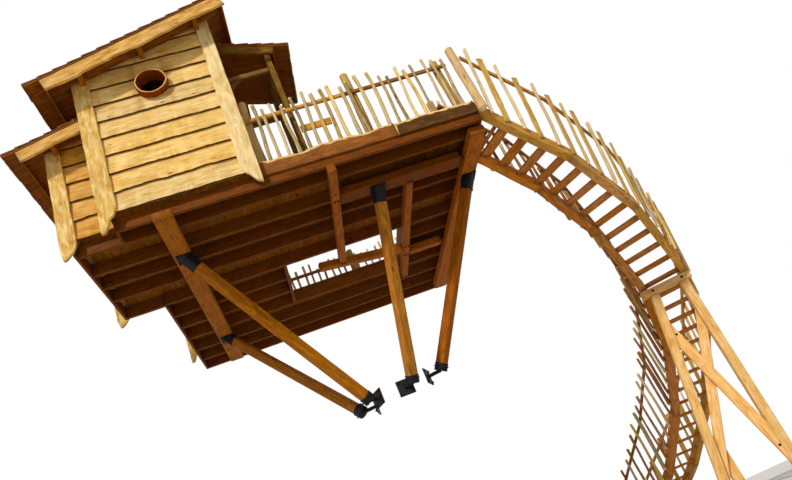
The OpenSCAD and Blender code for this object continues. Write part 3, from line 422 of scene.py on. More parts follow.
@dataclass(frozen=True)
class WallLining(Surface):
    """Planed tongued boards set upright inside the walls: 120 mm faces with fine dark joints. It
    goes on the CAD walls, so that its pattern is worked out from their place in metres."""

    name: str = "planed_larch_lining"
    pale: str = "#cf9a58"
    dark: str = "#8f5a2a"
    shadow: str = "#3a2412"
    board_mm: float = 120.0
    joint_mm: float = 3.0

    def skin(self, tree: NodeTree) -> Node:
        """Build the nodes that give the lining its look.

        Args:
            tree: the material's node tree.

        Returns:
            The shader that they lead to.
        """
        add = partial(add_node, tree)
        world = add("TexCoord", {}).outputs["Object"]
        boards = 1000 / self.board_mm
        place = add("VectorMath", {"operation": "MULTIPLY", 0: world, 1: (boards, boards, 0.0)})
        share = add("VectorMath", {"operation": "FRACTION", 0: place})
        sides = add("SeparateXYZ", {0: share}).outputs
        ends = add("Math", {"operation": "MINIMUM", 0: sides[0], 1: sides[1]})
        gap = add("MapRange", {0: ends, 2: self.joint_mm / self.board_mm, 3: 0.6, 4: 0.0})
        # The fibres are 11 mm wide and 400 mm long.
        strand = add("VectorMath", {"operation": "MULTIPLY", 0: world, 1: (90.0, 90.0, 2.5)})
        fibre = add("TexNoise", {"Scale": 1.0, "Detail": 3.0, "Vector": strand})
        base = add("ValToRGB", {"stops": ((0.3, self.dark), (0.65, self.pale)), "Fac": fibre})
        colour = add("Mix", {"data_type": "RGBA", 0: gap, 6: base, 7: self.shadow})
        bump = add("Bump", {"invert": True, "Strength": 0.5, "Distance": 1.0 * MM, "Height": gap})
        return add("BsdfPrincipled", {
            "Roughness": 0.55, "Base Color": colour.outputs[2], "Normal": bump})


@dataclass(frozen=True)
class StudioFloor(Surface):
    """A painted studio floor: nearly white, with a faint cloud in it."""

    name: str = "pale_painted_floor"
    pale: str = "#d6d3cd"
    deep: str = "#ccc8c1"

    def skin(self, tree: NodeTree) -> Node:
        """Build the nodes that give the floor its look.

        Args:
            tree: the material's node tree.

        Returns:
            The shader that they lead to.
        """
        add = partial(add_node, tree)
        world = add("TexCoord", {}).outputs["Object"]
        cloud = add("TexNoise", {"Scale": 0.6, "Detail": 2.0, "Vector": world})
        colour = add("ValToRGB", {"stops": ((0.3, self.deep), (0.7, self.pale)), "Fac": cloud})
        return add("BsdfPrincipled", {"Roughness": 0.8, "Base Color": colour})


class Finish(Enum):
    """The finishes of the tree house."""

    # Oil turns the struts and beams a warm orange-brown, and the sawn grain shows through it.
    # The beam copy is darker than the strut's: painted shade, for timbers in shade under the deck
    # and the eaves.
    STRUT = SawnTimber("oiled_larch_strut", "#cf8a30", "#a6641c", "#6e380c", "#402008", "#8a5c22",
                       ring_mm=30.0)
    BEAM = SawnTimber("oiled_larch_beam_painted_shade", "#bc6c14", "#98520c", "#623004", "#3a1c06", "#74481a",
                      ring_mm=30.0)
    # Joists and floor boards stay rough from the saw, and look dull; their dark browns are
    # painted shade, for the shade under the deck.
    JOIST = SawnTimber("sawn_larch_joist_painted_shade", "#8a4c10", "#6a3608", "#402006", "#281406", "#5a3810")
    FLOOR = SawnTimber("sawn_larch_floor_painted_shade", "#a06218", "#7c4610", "#4a2808", "#2c1606", "#6a461c",
                       0.35)
    # Boards sawn through the whole log show calm cream faces with wide rings and soft stains.
    WANEY = SawnTimber("waney_larch_board", "#f8e6b4", "#e4c27e", "#aa8040", "#6c4a26", "#dcc694",
                       0.45, knot_gap_mm=520.0, ring_mm=40.0, ring_share=0.06, stain_share=1.2)
    # A darker copy goes on the left-hand corner boards.
    WANEY_DARKER = SawnTimber("darker_waney_board", "#f4e0a2", "#d6aa5c", "#96642a", "#5c3a18",
                           "#c4a868", 0.40, knot_gap_mm=520.0, ring_mm=40.0, ring_share=0.06,
                           stain_share=1.2)
    FASCIA = SawnTimber("waney_larch_fascia", "#eec888", "#cb9a50", "#90622c", "#64421e",
                        "#b8945e", knot_gap_mm=520.0, ring_mm=40.0, ring_share=0.08,
                        stain_share=1.1)
    # The lap shadow finish is nearly black: painted shade under each lapped board. Where a
    # waney edge was peeled it is golden.
    LAP_SHADOW = SawnTimber("painted_lap_shadow", "#744616", "#54300c", "#301a06", "#201004", "#463014")
    EDGE = SawnTimber("waney_larch_edge", "#ac6a24", "#824c16", "#50290a", "#341a06", "#7c5a28",
                      ring_mm=30.0, stain_share=0.8)
    EDGE_DARK = SawnTimber("olive_larch_edge", "#6c4418", "#4e300e", "#301c08", "#201006",
                           "#564420", 0.40, ring_mm=30.0, stain_share=0.8)
    EDGE_PALE = SawnTimber("peeled_edge_line", "#f4d894", "#dcb260", "#a87a34", "#6c4a24",
                           "#c9ac74", 0.20)
    # The lapped boards are broad and smooth, honey-coloured on the cabin and orange on the bay.
    LAPPED = SawnTimber("lapped_waney_larch", "#ffecae", "#e8ba68", "#a8702c", "#6a3e14",
                        "#ecc880", 0.40, knot_gap_mm=600.0, ring_mm=44.0, ring_share=0.05)
    LAPPED_BAY = SawnTimber("lapped_orange_larch", "#f6cc78", "#d29640", "#92581c", "#643610",
                            "#cf984e", 0.35, knot_gap_mm=600.0, ring_mm=44.0, ring_share=0.05)
    # The hollow log is red-brown outside, and pale on its sawn end.
    HOLLOW = SawnTimber("hollow_larch_log", "#b4561e", "#7c3810", "#441c06", "#280e04", "#5c3214")
    LOGFACE = SawnTimber("sawn_log_face", "#f0d490", "#d8aa58", "#a0702c", "#643c18", "#c9a564")
    BOARDING = SawnTimber("sawn_roof_boarding", "#a4601c", "#7e440e", "#4a2406", "#2a1206",
                          "#5c3e18")
    # Hands and rain grey the sawn rails; planing left the new board bright.
    RAIL = SawnTimber("sawn_handrail", "#b8823a", "#925e24", "#5c3810", "#3a1e0a", "#7c602e", 0.40)
    HONEY = SawnTimber("planed_honey_board", "#f0b448", "#cf8a2c", "#925410", "#582e0c", "#b4883c")
    # The stair's inner parts and its treads take a reddish copy, its outer ones a paler copy.
    STAIR = SawnTimber("oiled_larch_stair", "#e09a4c", "#b46c2c", "#703c12", "#42220a", "#946a34")
    STAIR_FACE = SawnTimber("paler_larch_stair", "#e4b46c", "#bc8440", "#7e5220", "#4c3014",
                            "#a8844c", 0.35)
    SLAB = SawnTimber("waney_stair_slab", "#f0d088", "#d4a454", "#986e2e", "#644018", "#c4a468",
                      0.40, knot_gap_mm=420.0, stain_share=0.8)
    # The trestle is newly sawn: pale, with a fine clear grain.
    TRESTLE = SawnTimber("sawn_larch_trestle", "#f6d49c", "#deaa68", "#ae763c", "#6c421c",
                         "#cba874", 0.35, ring_mm=30.0, ring_share=0.10, stain_share=0.7)
    # The porch's timbers are darkened: painted shade, for the shade under the porch roof.
    PORCH = SawnTimber("oiled_larch_porch_painted_shade", "#9c742c", "#6c4a16", "#3e2808", "#241604", "#5c481c")
    SHAKE = SplitShake("split_larch_shake", "#86461c", "#54290f", "#a86426")
    # Some sticks were peeled clean, and others keep brown rags of bark.
    STICK = PeeledBranch("peeled_branch", "#c8aa6c", "#866a3e", "#583412", "#e6d4a0")
    PALE_STICK = PeeledBranch("peeled_pale_branch", "#e8cc88", "#b48e4a", "#86521e", "#f0d8a0",
                              bast_share=0.25)
    # The shaded copy is darker and more orange: painted shade, for sticks in shade, most of them on
    # the stair's inner side.
    DARK_STICK = PeeledBranch("shaded_branch", "#c8843a", "#7c4c1e", "#4e2a0c", "#d09c50",
                              bast_share=0.5)
    LOG = PeeledBranch("peeled_larch_log", "#d6ae68", "#a07c40", "#70441a", "#e0c48c",
                       bast_share=0.3, rag_mm=60.0)
    STEEL = PaintedSteel()
    LINING = WallLining()


@dataclass(frozen=True)
class Plan:
    """The main lines of the house, in millimetres, that several of its parts share."""

    floor: float = 3210.0
    floor_t: float = 45.0
    beam_low: float = 2790.0
    beam_top: float = 2940.0
    deck_x: Pair = (-3240.0, 2400.0)
    deck_y: Pair = (-2160.0, 3480.0)
    open_x: Pair = (-1090.0, 1110.0)
    open_y: Pair = (330.0, 1810.0)
    cab_x: Pair = (-3300.0, -1200.0)
    cab_y: Pair = (-2280.0, 2680.0)
    bay_x: float = -3978.0
    bay_y: Pair = (-1920.0, 390.0)
    clad_t: float = 38.0
    rim_t: float = 40.0
    ground: float = -3390.0
    # The faces of the four bracket pads lie this far from their common middle.
    pads_r: float = 480.0


PLAN = Plan()


@dataclass(frozen=True)
class Slope:
    """A roof's own frame: u runs along the slope, w stands square to it, y lies along it."""

    x: float
    z: float
    pitch: float

    def at(self, u: Array, y: Array, w: Array) -> Array:
        """Turn roof places into places of the house.

        Args:
            u: distance along the slope.
            y: distance from front to back.
            w: height square to the slope.

        Returns:
            The points, one row each.
        """
        c, s = math.cos(math.radians(self.pitch)), math.sin(math.radians(self.pitch))
        u, y, w = np.broadcast_arrays(np.asarray(u, float), y, w)
        return np.stack([self.x + u * c - w * s, y, self.z + u * s + w * c], axis=-1)

    @property
    def along(self) -> Array:
        """The unit vector along u."""
        a = math.radians(self.pitch)
        return np.array([math.cos(a), 0.0, math.sin(a)])

    @property
    def out(self) -> Array:
        """The unit vector along w."""
        a = math.radians(self.pitch)
        return np.array([-math.sin(a), 0.0, math.cos(a)])

    def length(self, run: float) -> float:
        """The length along the slope of a level distance."""
        return run / math.cos(math.radians(self.pitch))

    def soffit(self, x: Array) -> Array:
        """The height of the roof's underside over x."""
        return self.z + (np.asarray(x) - self.x) * math.tan(math.radians(self.pitch))


MAIN_SLOPE = Slope(-3300.0, 5820.0, 17.2)
BAY_SLOPE = Slope(-3300.0, 5103.0, 15.6)
# The porch falls away from the cabin, so that its slope is laid out from the cabin wall down.
PORCH_SLOPE = Slope(-1200.0, 6161.0, -19.8)


def unit(v: Array) -> Array:
    """Scale vectors to length 1."""
    v = np.asarray(v, float)
    return v / np.linalg.norm(v, axis=-1, keepdims=True)


def ripple(x: Array, amp: float, seed: int, length: float) -> Array:
    """A waney line: slow waves with smaller ones on them.

    Args:
        x: places along the line, in mm.
        amp: the greatest rise, in mm.
        seed: picks the waves.
        length: the longest wave, in mm.

    Returns:
        The rise at each place.
    """
    phase = np.random.default_rng(seed).uniform(0, 2 * math.pi, 4)
    turn = 2 * math.pi * np.asarray(x, float) / length
    return amp * (0.5 * np.sin(turn + phase[0]) + 0.27 * np.sin(2.3 * turn + phase[1])
                  + 0.15 * np.sin(4.9 * turn + phase[2]) + 0.08 * np.sin(9.7 * turn + phase[3]))


def circle(count: int) -> Array:
    """Points round a circle of radius 1."""
    turn = np.linspace(0, 2 * math.pi, count, endpoint=False)
    return np.column_stack([np.cos(turn), np.sin(turn)])


def square(width: float) -> Array:
    """The corners of a square round its own middle."""
    return width / 2 * np.array([[-1.0, -1.0], [1.0, -1.0], [1.0, 1.0], [-1.0, 1.0]])


def box_section(width: float, depth: float, bevel: float) -> Array:
    """A rectangle with its corners taken off, round its own middle.

    Args:
        width: its first size.
        depth: its second size.
        bevel: how far the corners are taken off.

    Returns:
        Its eight corners.
    """
    a, b, c = width / 2, depth / 2, bevel
    return np.array([[-a + c, -b], [a - c, -b], [a, -b + c], [a, b - c], [a - c, b], [-a + c, b],
                     [-a, b - c], [-a, -b + c]])


def tube(n: int, rings: int) -> list[list[int]]:
    """The faces that join rings of points.

    Args:
        n: the number of points in a ring.
        rings: the number of rings.

    Returns:
        The faces, by the points' numbers.
    """
    return [[j * n + k, j * n + (k + 1) % n, (j + 1) * n + (k + 1) % n, (j + 1) * n + k]
            for j in range(rings - 1) for k in range(n)]


def onto(points: Array, way: Array, plane: tuple[Array, Array]) -> Array:
    """Slide points along a way until they lie on a plane.

    Args:
        points: the points.
        way: the direction of sliding.
        plane: a point of the plane, and its normal.

    Returns:
        The points on the plane.
    """
    at, normal = (np.asarray(v, float) for v in plane)
    return points + way * (((at - points) @ normal) / (way @ normal))[:, None]


class Timber:
    """Collects boards, bars, logs and slabs, in millimetres, and makes one mesh of them.

    Each point keeps its place in its own piece of wood, a chance number for that piece, and its
    distance from the nearer end, for the finishes to draw on."""

    def __init__(self, name: str, seed: int, *finishes: Finish) -> None:
        """Start an empty piece.

        Args:
            name: the piece's name in the scene.
            seed: the seed of its chances.
            finishes: its finishes, which the parts name by number.
        """
        self.name = name
        self.finishes = finishes
        self.rng = np.random.default_rng(seed)
        self.points: list[Array] = []
        self.grains: list[Array] = []
        self.chances: list[Array] = []
        self.ends: list[Array] = []
        self.faces: list[list[int]] = []
        self.smooth: list[bool] = []
        self.slots: list[int] = []
        self.count = 0

    def add(self, points: Array, grain: Array, end: Array,
            faces: Sequence[Sequence[int]], finishes: Sequence[int], smooth: bool = False,
            chance: float | None = None) -> None:
        """Add one closed shape.

        Args:
            points: its points.
            grain: each point's place in the wood: along, across and deep.
            end: each point's distance from the nearer end.
            faces: the faces, by the points' numbers.
            finishes: the number of each face's finish.
            smooth: whether it is shaded round.
            chance: its chance number, or None to draw one.
        """
        chance = self.rng.random() if chance is None else chance
        self.points.append(points)
        self.grains.append(grain)
        self.ends.append(end)
        self.chances.append(np.full(len(points), chance))
        self.faces.extend([[i + self.count for i in face] for face in faces])
        self.smooth.extend([smooth] * len(faces))
        self.slots.extend(finishes)
        self.count += len(points)

    def sweep(self, path: Array, sides: Array, tops: Array, section: Array,
              cuts: tuple = (None, None), bevel: float = 4.0, finish: int = 0,
              smooth: bool = False, chance: float | None = None,
              bands: dict[int, int] | None = None) -> None:
        """Draw a section along a path.

        Args:
            path: the middle line, one row a station.
            sides: the section's first direction at each station.
            tops: its second direction at each station.
            section: its points, or those of each station.
            cuts: the planes that cut its two ends, each a point and a normal, or None.
            bevel: how far the edges of the ends are taken off.
            finish: the number of its finish.
            smooth: whether it is shaded round.
            chance: its chance number.
            bands: other finishes, by the number of the section's side.
        """
        path, count = np.asarray(path, float), len(path)
        sides, tops = (np.broadcast_to(v, (count, 3)) for v in (sides, tops))
        section = np.broadcast_to(section, (count,) + np.shape(section)[-2:])
        run = np.concatenate([[0], np.cumsum(np.linalg.norm(np.diff(path, axis=0), axis=1))])
        full = path[:, None] + section[..., :1] * sides[:, None] + section[..., 1:] * tops[:, None]
        rows = [(full[j], section[j], run[j]) for j in range(1, count - 1)]
        for last, step, cut in ((0, 1, cuts[0]), (count - 1, -1, cuts[1])):
            inward = unit(path[last + step] - path[last])
            middle = section[last].mean(0)
            spread = np.maximum(np.ptp(section[last], axis=0) / 2, 1e-6)
            small = middle + (section[last] - middle) * np.maximum(1 - bevel / spread, 0.3)
            flat = path[last] + small[:, :1] * sides[last] + small[:, 1:] * tops[last]
            edge = full[last]
            if cut is not None:
                flat, edge = onto(flat, inward, cut), onto(edge, inward, cut)
            ends = [(flat, small, run[last]),
                    (edge + inward * bevel, section[last], run[last] + step * bevel)]
            rows = ends + rows if step > 0 else rows + ends[::-1]
        n, m = section.shape[1], len(rows)
        grain = np.concatenate([np.column_stack([np.full(n, u), place]) for _, place, u in rows])
        end = np.minimum(grain[:, 0], run[-1] - grain[:, 0]).clip(0)
        faces = tube(n, m) + [list(range(n))[::-1], list(range((m - 1) * n, m * n))]
        along = [(bands or {}).get(k, finish) for k in range(n)] * (m - 1)
        self.add(np.concatenate([row[0] for row in rows]), grain, end, faces,
                 along + [finish] * 2, smooth, chance)

    def bar(self, start: Sequence[float], stop: Sequence[float], width: float, depth: float,
            bevel: float = 5.0, wane: float = 0.0, bow: float = 3.0, cuts: tuple = (None, None),
            side: Sequence[float] | None = None, top: Sequence[float] | None = None,
            finish: int = 0, step: float = 260.0) -> None:
        """Add a straight sawn timber.

        Args:
            start: the middle of one end.
            stop: the middle of the other end.
            width: its size along the side direction.
            depth: its size along the top direction.
            bevel: how far its edges are taken off.
            wane: how far its side edges wave.
            bow: how far it is bent by drying.
            cuts: the planes of its ends, or None.
            side: the side direction, or None for the level one.
            top: the top direction, or None for the one square to the others.
            finish: the number of its finish.
            step: the length between stations.
        """
        start, stop = np.asarray(start, float), np.asarray(stop, float)
        length = float(np.linalg.norm(stop - start))
        way = (stop - start) / length
        if side is None:
            side = np.cross(way, UP) if abs(way[2]) < 0.98 else ACROSS
        side = unit(side)
        top = unit(np.cross(side, way) if top is None else top)
        count = max(3, int(length / step) + 2)
        t = np.linspace(0, 1, count)
        bend = bow * np.sin(math.pi * t) * self.rng.uniform(-1, 1)
        path = start + np.outer(t, stop - start) + np.outer(bend, side)
        section = np.repeat(box_section(width, depth, bevel)[None], count, axis=0)
        for sign in (-1, 1) if wane else ():
            shift = ripple(t * length, wane, int(self.rng.integers(1 << 30)), 700.0)
            section[:, np.sign(section[0, :, 0]) == sign, 0] += sign * shift[:, None]
        self.sweep(path, side, top, section, cuts, bevel, finish)

    def log(self, path: Array, radii: Array, around: int = 9, lump: float = 0.06,
            finish: int = 0) -> None:
        """Add a log or branch along a crooked path.

        Args:
            path: the middle line, one row a station.
            radii: the radius of each station.
            around: the number of points round it.
            lump: how uneven it is, as a share of the radius.
            finish: the number of its finish.
        """
        way = unit(np.gradient(path, axis=0))
        first = ACROSS if abs(way[0, 0]) < 0.9 else BACKWARD
        sides = unit(first - way * (way @ first)[:, None])
        angle = np.linspace(0, 2 * math.pi, around, endpoint=False)
        phase = self.rng.uniform(0, 2 * math.pi, 3)
        run = np.linspace(0, 1, len(path))[:, None] * np.linalg.norm(path[-1] - path[0])
        uneven = 1 + lump * (np.sin(2 * angle + phase[0] + run / 170)
                             + 0.7 * np.sin(3 * angle + phase[1] - run / 90)
                             + 0.5 * np.sin(run / 60 + phase[2]))
        section = (radii[:, None] * uneven)[..., None] * circle(around)
        self.sweep(path, sides, np.cross(way, sides), section, bevel=float(radii[-1]) * 0.42,
                   finish=finish, smooth=True)

    def crooked(self, start: Array, stop: Array, sway: float, count: int) -> Array:
        """A line between two points that bends as a branch does.

        Args:
            start: the foot.
            stop: the top.
            sway: how far it strays, in mm.
            count: the number of stations.

        Returns:
            The stations. Both ends stay where they are.
        """
        t = np.linspace(0, 1, count)
        line = start + np.outer(t, stop - start)
        for axis in (0, 1):
            a, b = self.rng.uniform(-1, 1, 2)
            line[:, axis] += sway * (a * np.sin(math.pi * t) + 0.5 * b * np.sin(2 * math.pi * t))
        return line

    def stick(self, foot: Array, top: Array, radius: float, sway: float, count: int, thin: float,
              dark: float, out: Array | None = None) -> None:
        """Add a peeled stick, with a swelling at its top.

        Args:
            foot: the middle of its foot.
            top: the middle of its top.
            radius: its mean radius.
            sway: how far it strays.
            count: the number of stations.
            thin: the share of the radius that its top has.
            dark: the chance that it has the second finish.
            out: the way out from a rail that it stands against and sways along, or None.
        """
        path = self.crooked(foot, top, sway, count)
        # Against a rail a branch sways along it, and only a little away from it.
        if out is not None:
            path -= np.outer((path - foot) @ out * 0.75, out)
        taper = np.linspace(1.06, thin, count)
        taper[-2:] *= 1.0 + 0.2 * self.rng.random()
        self.log(path, radius * taper, finish=int(self.rng.random() < dark))

    def slab(self, outline: Array, origin: Sequence[float], across: Sequence[float],
             up: Sequence[float], out: Sequence[float], thick: float,
             bevel: float | Array = 4.0, along: int = 1, finish: int = 0,
             rim: int | None = None) -> None:
        """Add a board cut to an outline.

        Args:
            outline: its corners, as distances along across and up.
            origin: the outline's zero, on the board's front face.
            across: the outline's first direction.
            up: the outline's second direction.
            out: the direction that the front face looks in.
            thick: the board's thickness.
            bevel: how far the front's edge is taken off, or that of each corner. Over 24 mm it
                is a wane, which runs further down the front than back over the edge.
            along: the direction of the grain, 0 for across and 1 for up.
            finish: the number of its finish.
            rim: the finish of the front's edge where it is taken off by 8 mm or more.
        """
        flat = np.asarray(outline, float)
        turn = np.roll(flat, -1, axis=0)
        if np.sum(flat[:, 0] * turn[:, 1] - turn[:, 0] * flat[:, 1]) < 0:
            flat = flat[::-1]
            bevel = bevel[::-1] if isinstance(bevel, Array) else bevel
        n = len(flat)
        edge = unit(np.roll(flat, -1, axis=0) - flat)
        inward = np.column_stack([-edge[:, 1], edge[:, 0]])
        inward = unit(inward + np.roll(inward, 1, axis=0))
        bevel = np.broadcast_to(bevel, (n,)).astype(float)
        origin, across, up, out = (np.asarray(v, float) for v in (origin, across, up, out))
        layers = [(flat + inward * bevel[:, None], np.zeros(n)),
                  (flat, np.where(bevel > 24.0, thick * 0.45, np.minimum(bevel, thick * 0.6))),
                  (flat, np.full(n, thick - 3.0)), (flat + inward * 3.0, np.full(n, thick))]
        points = np.concatenate([origin + p[:, :1] * across + p[:, 1:] * up - d[:, None] * out
                                 for p, d in layers])
        lay = np.concatenate([np.column_stack([p[:, along], p[:, 1 - along], d])
                              for p, d in layers])
        low, high = flat[:, along].min(), flat[:, along].max()
        end = np.minimum(lay[:, 0] - low, high - lay[:, 0]).clip(0)
        lay[:, 1] -= (flat[:, 1 - along].min() + flat[:, 1 - along].max()) / 2
        faces = tube(n, 4) + [list(range(n)), list(range(3 * n, 4 * n))[::-1]]
        finishes = [finish] * len(faces)
        if rim is not None:
            finishes[:n] = [rim if b >= 8.0 else finish for b in bevel]
        self.add(points, lay, end, faces, finishes)

    def bolt(self, at: Sequence[float], way: Sequence[float], across: float = 26.0,
             high: float = 16.0) -> None:
        """Add a washer and a hexagon head.

        Args:
            at: the middle of the washer's seat.
            way: the direction that the head points in.
            across: the head's width over its corners.
            high: the head's height.
        """
        at, way = np.asarray(at, float), unit(way)
        first = ACROSS if abs(way[0]) < 0.8 else BACKWARD
        side = unit(first - way * (way @ first))
        for count, radius, low, up, bevel in ((14, across * 0.85, -2.0, 4.0, 1.0),
                                              (6, across / 2, 3.0, 4.0 + high, 2.5)):
            self.sweep(np.array([at + way * low, at + way * up]), side, np.cross(way, side),
                       radius * circle(count), bevel=bevel)

    def piece(self, slot: str, *nodes: str) -> None:
        """Make the mesh object, and let it take the place of CAD nodes.

        Args:
            slot: the record's material slot; it is not used.
            nodes: the CAD nodes that it stands for.
        """
        mesh = bpy.data.meshes.new(self.name)
        mesh.from_pydata((np.concatenate(self.points) * MM).tolist(), [], self.faces)
        mesh.polygons.foreach_set("use_smooth", self.smooth)
        mesh.polygons.foreach_set("material_index", self.slots)
        for name, kind, key, values in (("grain", "FLOAT_VECTOR", "vector", self.grains),
                                        ("board", "FLOAT", "value", self.chances),
                                        ("end", "FLOAT", "value", self.ends)):
            flat = np.concatenate(values).ravel().astype(np.float32)
            mesh.attributes.new(name, kind, "POINT").data.foreach_set(key, flat)
        work = bmesh.new()
        work.from_mesh(mesh)
        bmesh.ops.recalc_face_normals(work, faces=work.faces)
        work.to_mesh(mesh)
        work.free()
        mesh.update()
        mesh.set_sharp_from_angle(angle=math.radians(38))
        for finish in self.finishes:
            mesh.materials.append(finish.value.material())
        piece = bpy.data.objects.new(self.name, mesh)
        bpy.context.scene.collection.objects.link(piece)
        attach(piece, BODY)
        if nodes:
            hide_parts(*nodes)
        LOG.info("%s: %d faces, for %s", self.name, len(self.faces), ", ".join(nodes) or "trim")


@dataclass
class Steelwork:
    """The struts, with brackets and shoes at their feet and sockets at their heads."""

    names: tuple = ("strut_front_left", "strut_back_left", "strut_front_right", "strut_far_right")
    # Each foot's turn and reach from the pads' common middle, its height, and its pad's turn.
    feet: tuple = ((207.5, 649.0, 66.0, 207.5), (165.9, 736.0, 60.0, 165.9),
                   (281.3, 612.0, 0.0, 270.0), (335.8, 730.0, 114.0, 335.8))
    heads: tuple = ((-2555.0, -1180.0), (-2555.0, 2030.0), (617.0, -1400.0), (2267.0, -892.0))
    strut_w: float = 165.0
    arris: float = 22.0
    chamfer: float = 30.0
    pad_w: float = 260.0
    pad_t: float = 20.0
    pad_bolts: float = 190.0
    rod_r: float = 30.0
    collar_r: float = 46.0
    shoe_t: float = 12.0
    shoe_grip: float = 110.0
    socket_t: float = 10.0
    socket_len: float = 230.0
    band_len: float = 26.0
    plate_w: float = 270.0
    plate_t: float = 10.0
    plate_bolt: float = 112.0

    def foot(self, i: int) -> Array:
        """The middle of a strut's foot.

        Args:
            i: the strut's number.

        Returns:
            The point.
        """
        turn, reach, height, _ = self.feet[i]
        a = math.radians(turn)
        return np.array([reach * math.cos(a), PLAN.pads_r + reach * math.sin(a), height])

    def head(self, i: int) -> Array:
        """The middle of a strut's head, under its beam."""
        return np.array([*self.heads[i], PLAN.beam_low])

    def frame_of(self, i: int) -> tuple[Array, Array, Array]:
        """A strut's own directions.

        Args:
            i: the strut's number.

        Returns:
            The directions along it, level across it, and square to both.
        """
        way = unit(self.head(i) - self.foot(i))
        side = unit(np.cross(way, UP))
        return way, side, np.cross(side, way)

    def build_brackets(self) -> None:
        """Build the pads, rods and shoes."""
        steel = Timber("trunk_bracket_steel", 11, Finish.STEEL)
        ring = circle(20)
        for i in range(4):
            foot, (way, side, top) = self.foot(i), self.frame_of(i)
            a = math.radians(self.feet[i][3])
            out = np.array([math.cos(a), math.sin(a), 0.0])
            level = np.array([-out[1], out[0], 0.0])
            face = np.array([0.0, PLAN.pads_r, foot[2]]) + out * (PLAN.pads_r + self.pad_t)
            steel.slab(square(self.pad_w), face, level, UP, out, self.pad_t, 2.5)
            for da, db in square(self.pad_bolts):
                steel.bolt(face + level * da + UP * db, out, 34.0)
            start = foot - way * 6
            rod = unit(start - (face - out * 10))
            rs = unit(np.cross(rod, UP))
            steel.sweep(np.array([face - out * 10, start]), rs, np.cross(rs, rod),
                        self.rod_r * ring)
            steel.sweep(np.array([face - out * 2, face + rod * 14]), rs, np.cross(rs, rod),
                        self.collar_r * ring, bevel=9.0)
            outer = self.strut_w / math.sqrt(2) - self.chamfer / math.sqrt(2) + self.shoe_t
            shell = np.array([foot + way * u for u in (0.0, 40.0, self.shoe_grip)])
            for path, radius, bevel in (
                    (np.array([foot - way * 12, foot + way * 2]), outer, 3.0),
                    (shell, outer + 0.4, 2.0),
                    (shell[[2, 2]] + np.outer([-16.0, 0.0], way), outer + 5, 2.0)):
                steel.sweep(path, side, top, radius * ring, bevel=bevel)
            for sign in (-1, 1):
                for face_way in (side * sign, top * sign):
                    steel.bolt(foot + way * 60 + face_way * (outer + 1), face_way)
        steel.piece("black_steel", "trunk_brackets")

    def build_sockets(self) -> None:
        """Build the sockets and their plates under the beams."""
        steel = Timber("strut_socket_steel", 12, Finish.STEEL)
        half = self.strut_w / 2 + self.socket_t
        for i in range(4):
            foot, head, (way, side, top) = self.foot(i), self.head(i), self.frame_of(i)
            start = foot + way * (float(np.linalg.norm(head - foot)) - self.socket_len)
            outer = box_section(2 * half, 2 * half, self.chamfer + 4)
            steel.sweep(np.array([start, (start + head) / 2, head]), side, top, outer,
                        (None, (head - UP * 6, UP)), 2.0)
            steel.sweep(np.array([start, start + way * self.band_len]), side, top,
                        box_section(2 * half + 12, 2 * half + 12, self.chamfer + 6), bevel=2.0)
            steel.slab(square(self.plate_w), head - UP * self.plate_t, ACROSS, BACKWARD, -UP,
                       self.plate_t, 2.0)
            for da in (-self.plate_bolt, self.plate_bolt):
                for db in (-self.plate_bolt, self.plate_bolt):
                    steel.bolt(head + np.array([da, db, -self.plate_t]), -UP, high=14.0)
            for u in (80, 170):
                for sign in (-1, 1):
                    steel.bolt(start + way * u + side * sign * half, side * sign, 28.0)
        steel.piece("black_steel", "strut_sockets")

    def build_struts(self) -> None:
        """Build the four struts."""
        for i, node in enumerate(self.names):
            # The far strut takes the darker beam finish: painted shade, for the shade that it
            # stands in.
            timber = Timber(node + "_timber", 20 + i, Finish.BEAM if i == 3 else Finish.STRUT)
            foot, head, (way, side, top) = self.foot(i), self.head(i), self.frame_of(i)
            length = float(np.linalg.norm(head - foot))
            run = np.linspace(0, length, int(length / 240) + 2)
            bend = 4.0 * np.sin(math.pi * run / length)
            path = foot + np.outer(run, way) + np.outer(bend, side)
            # The arrises were taken off by hand, so that they are not quite even.
            uneven = 1 - 0.012 * np.abs(ripple(run, 1.0, 40 + i, 900.0))
            section = box_section(self.strut_w, self.strut_w, self.arris) * uneven[:, None, None]
            plane = (head - UP * (self.plate_t + 0.3), UP)
            timber.sweep(path, side, top, section, (None, plane), 6.0)
            timber.piece("strut_larch", node)

    def build(self) -> None:
        """Build brackets, sockets and struts."""
        self.build_brackets()
        self.build_sockets()
        self.build_struts()


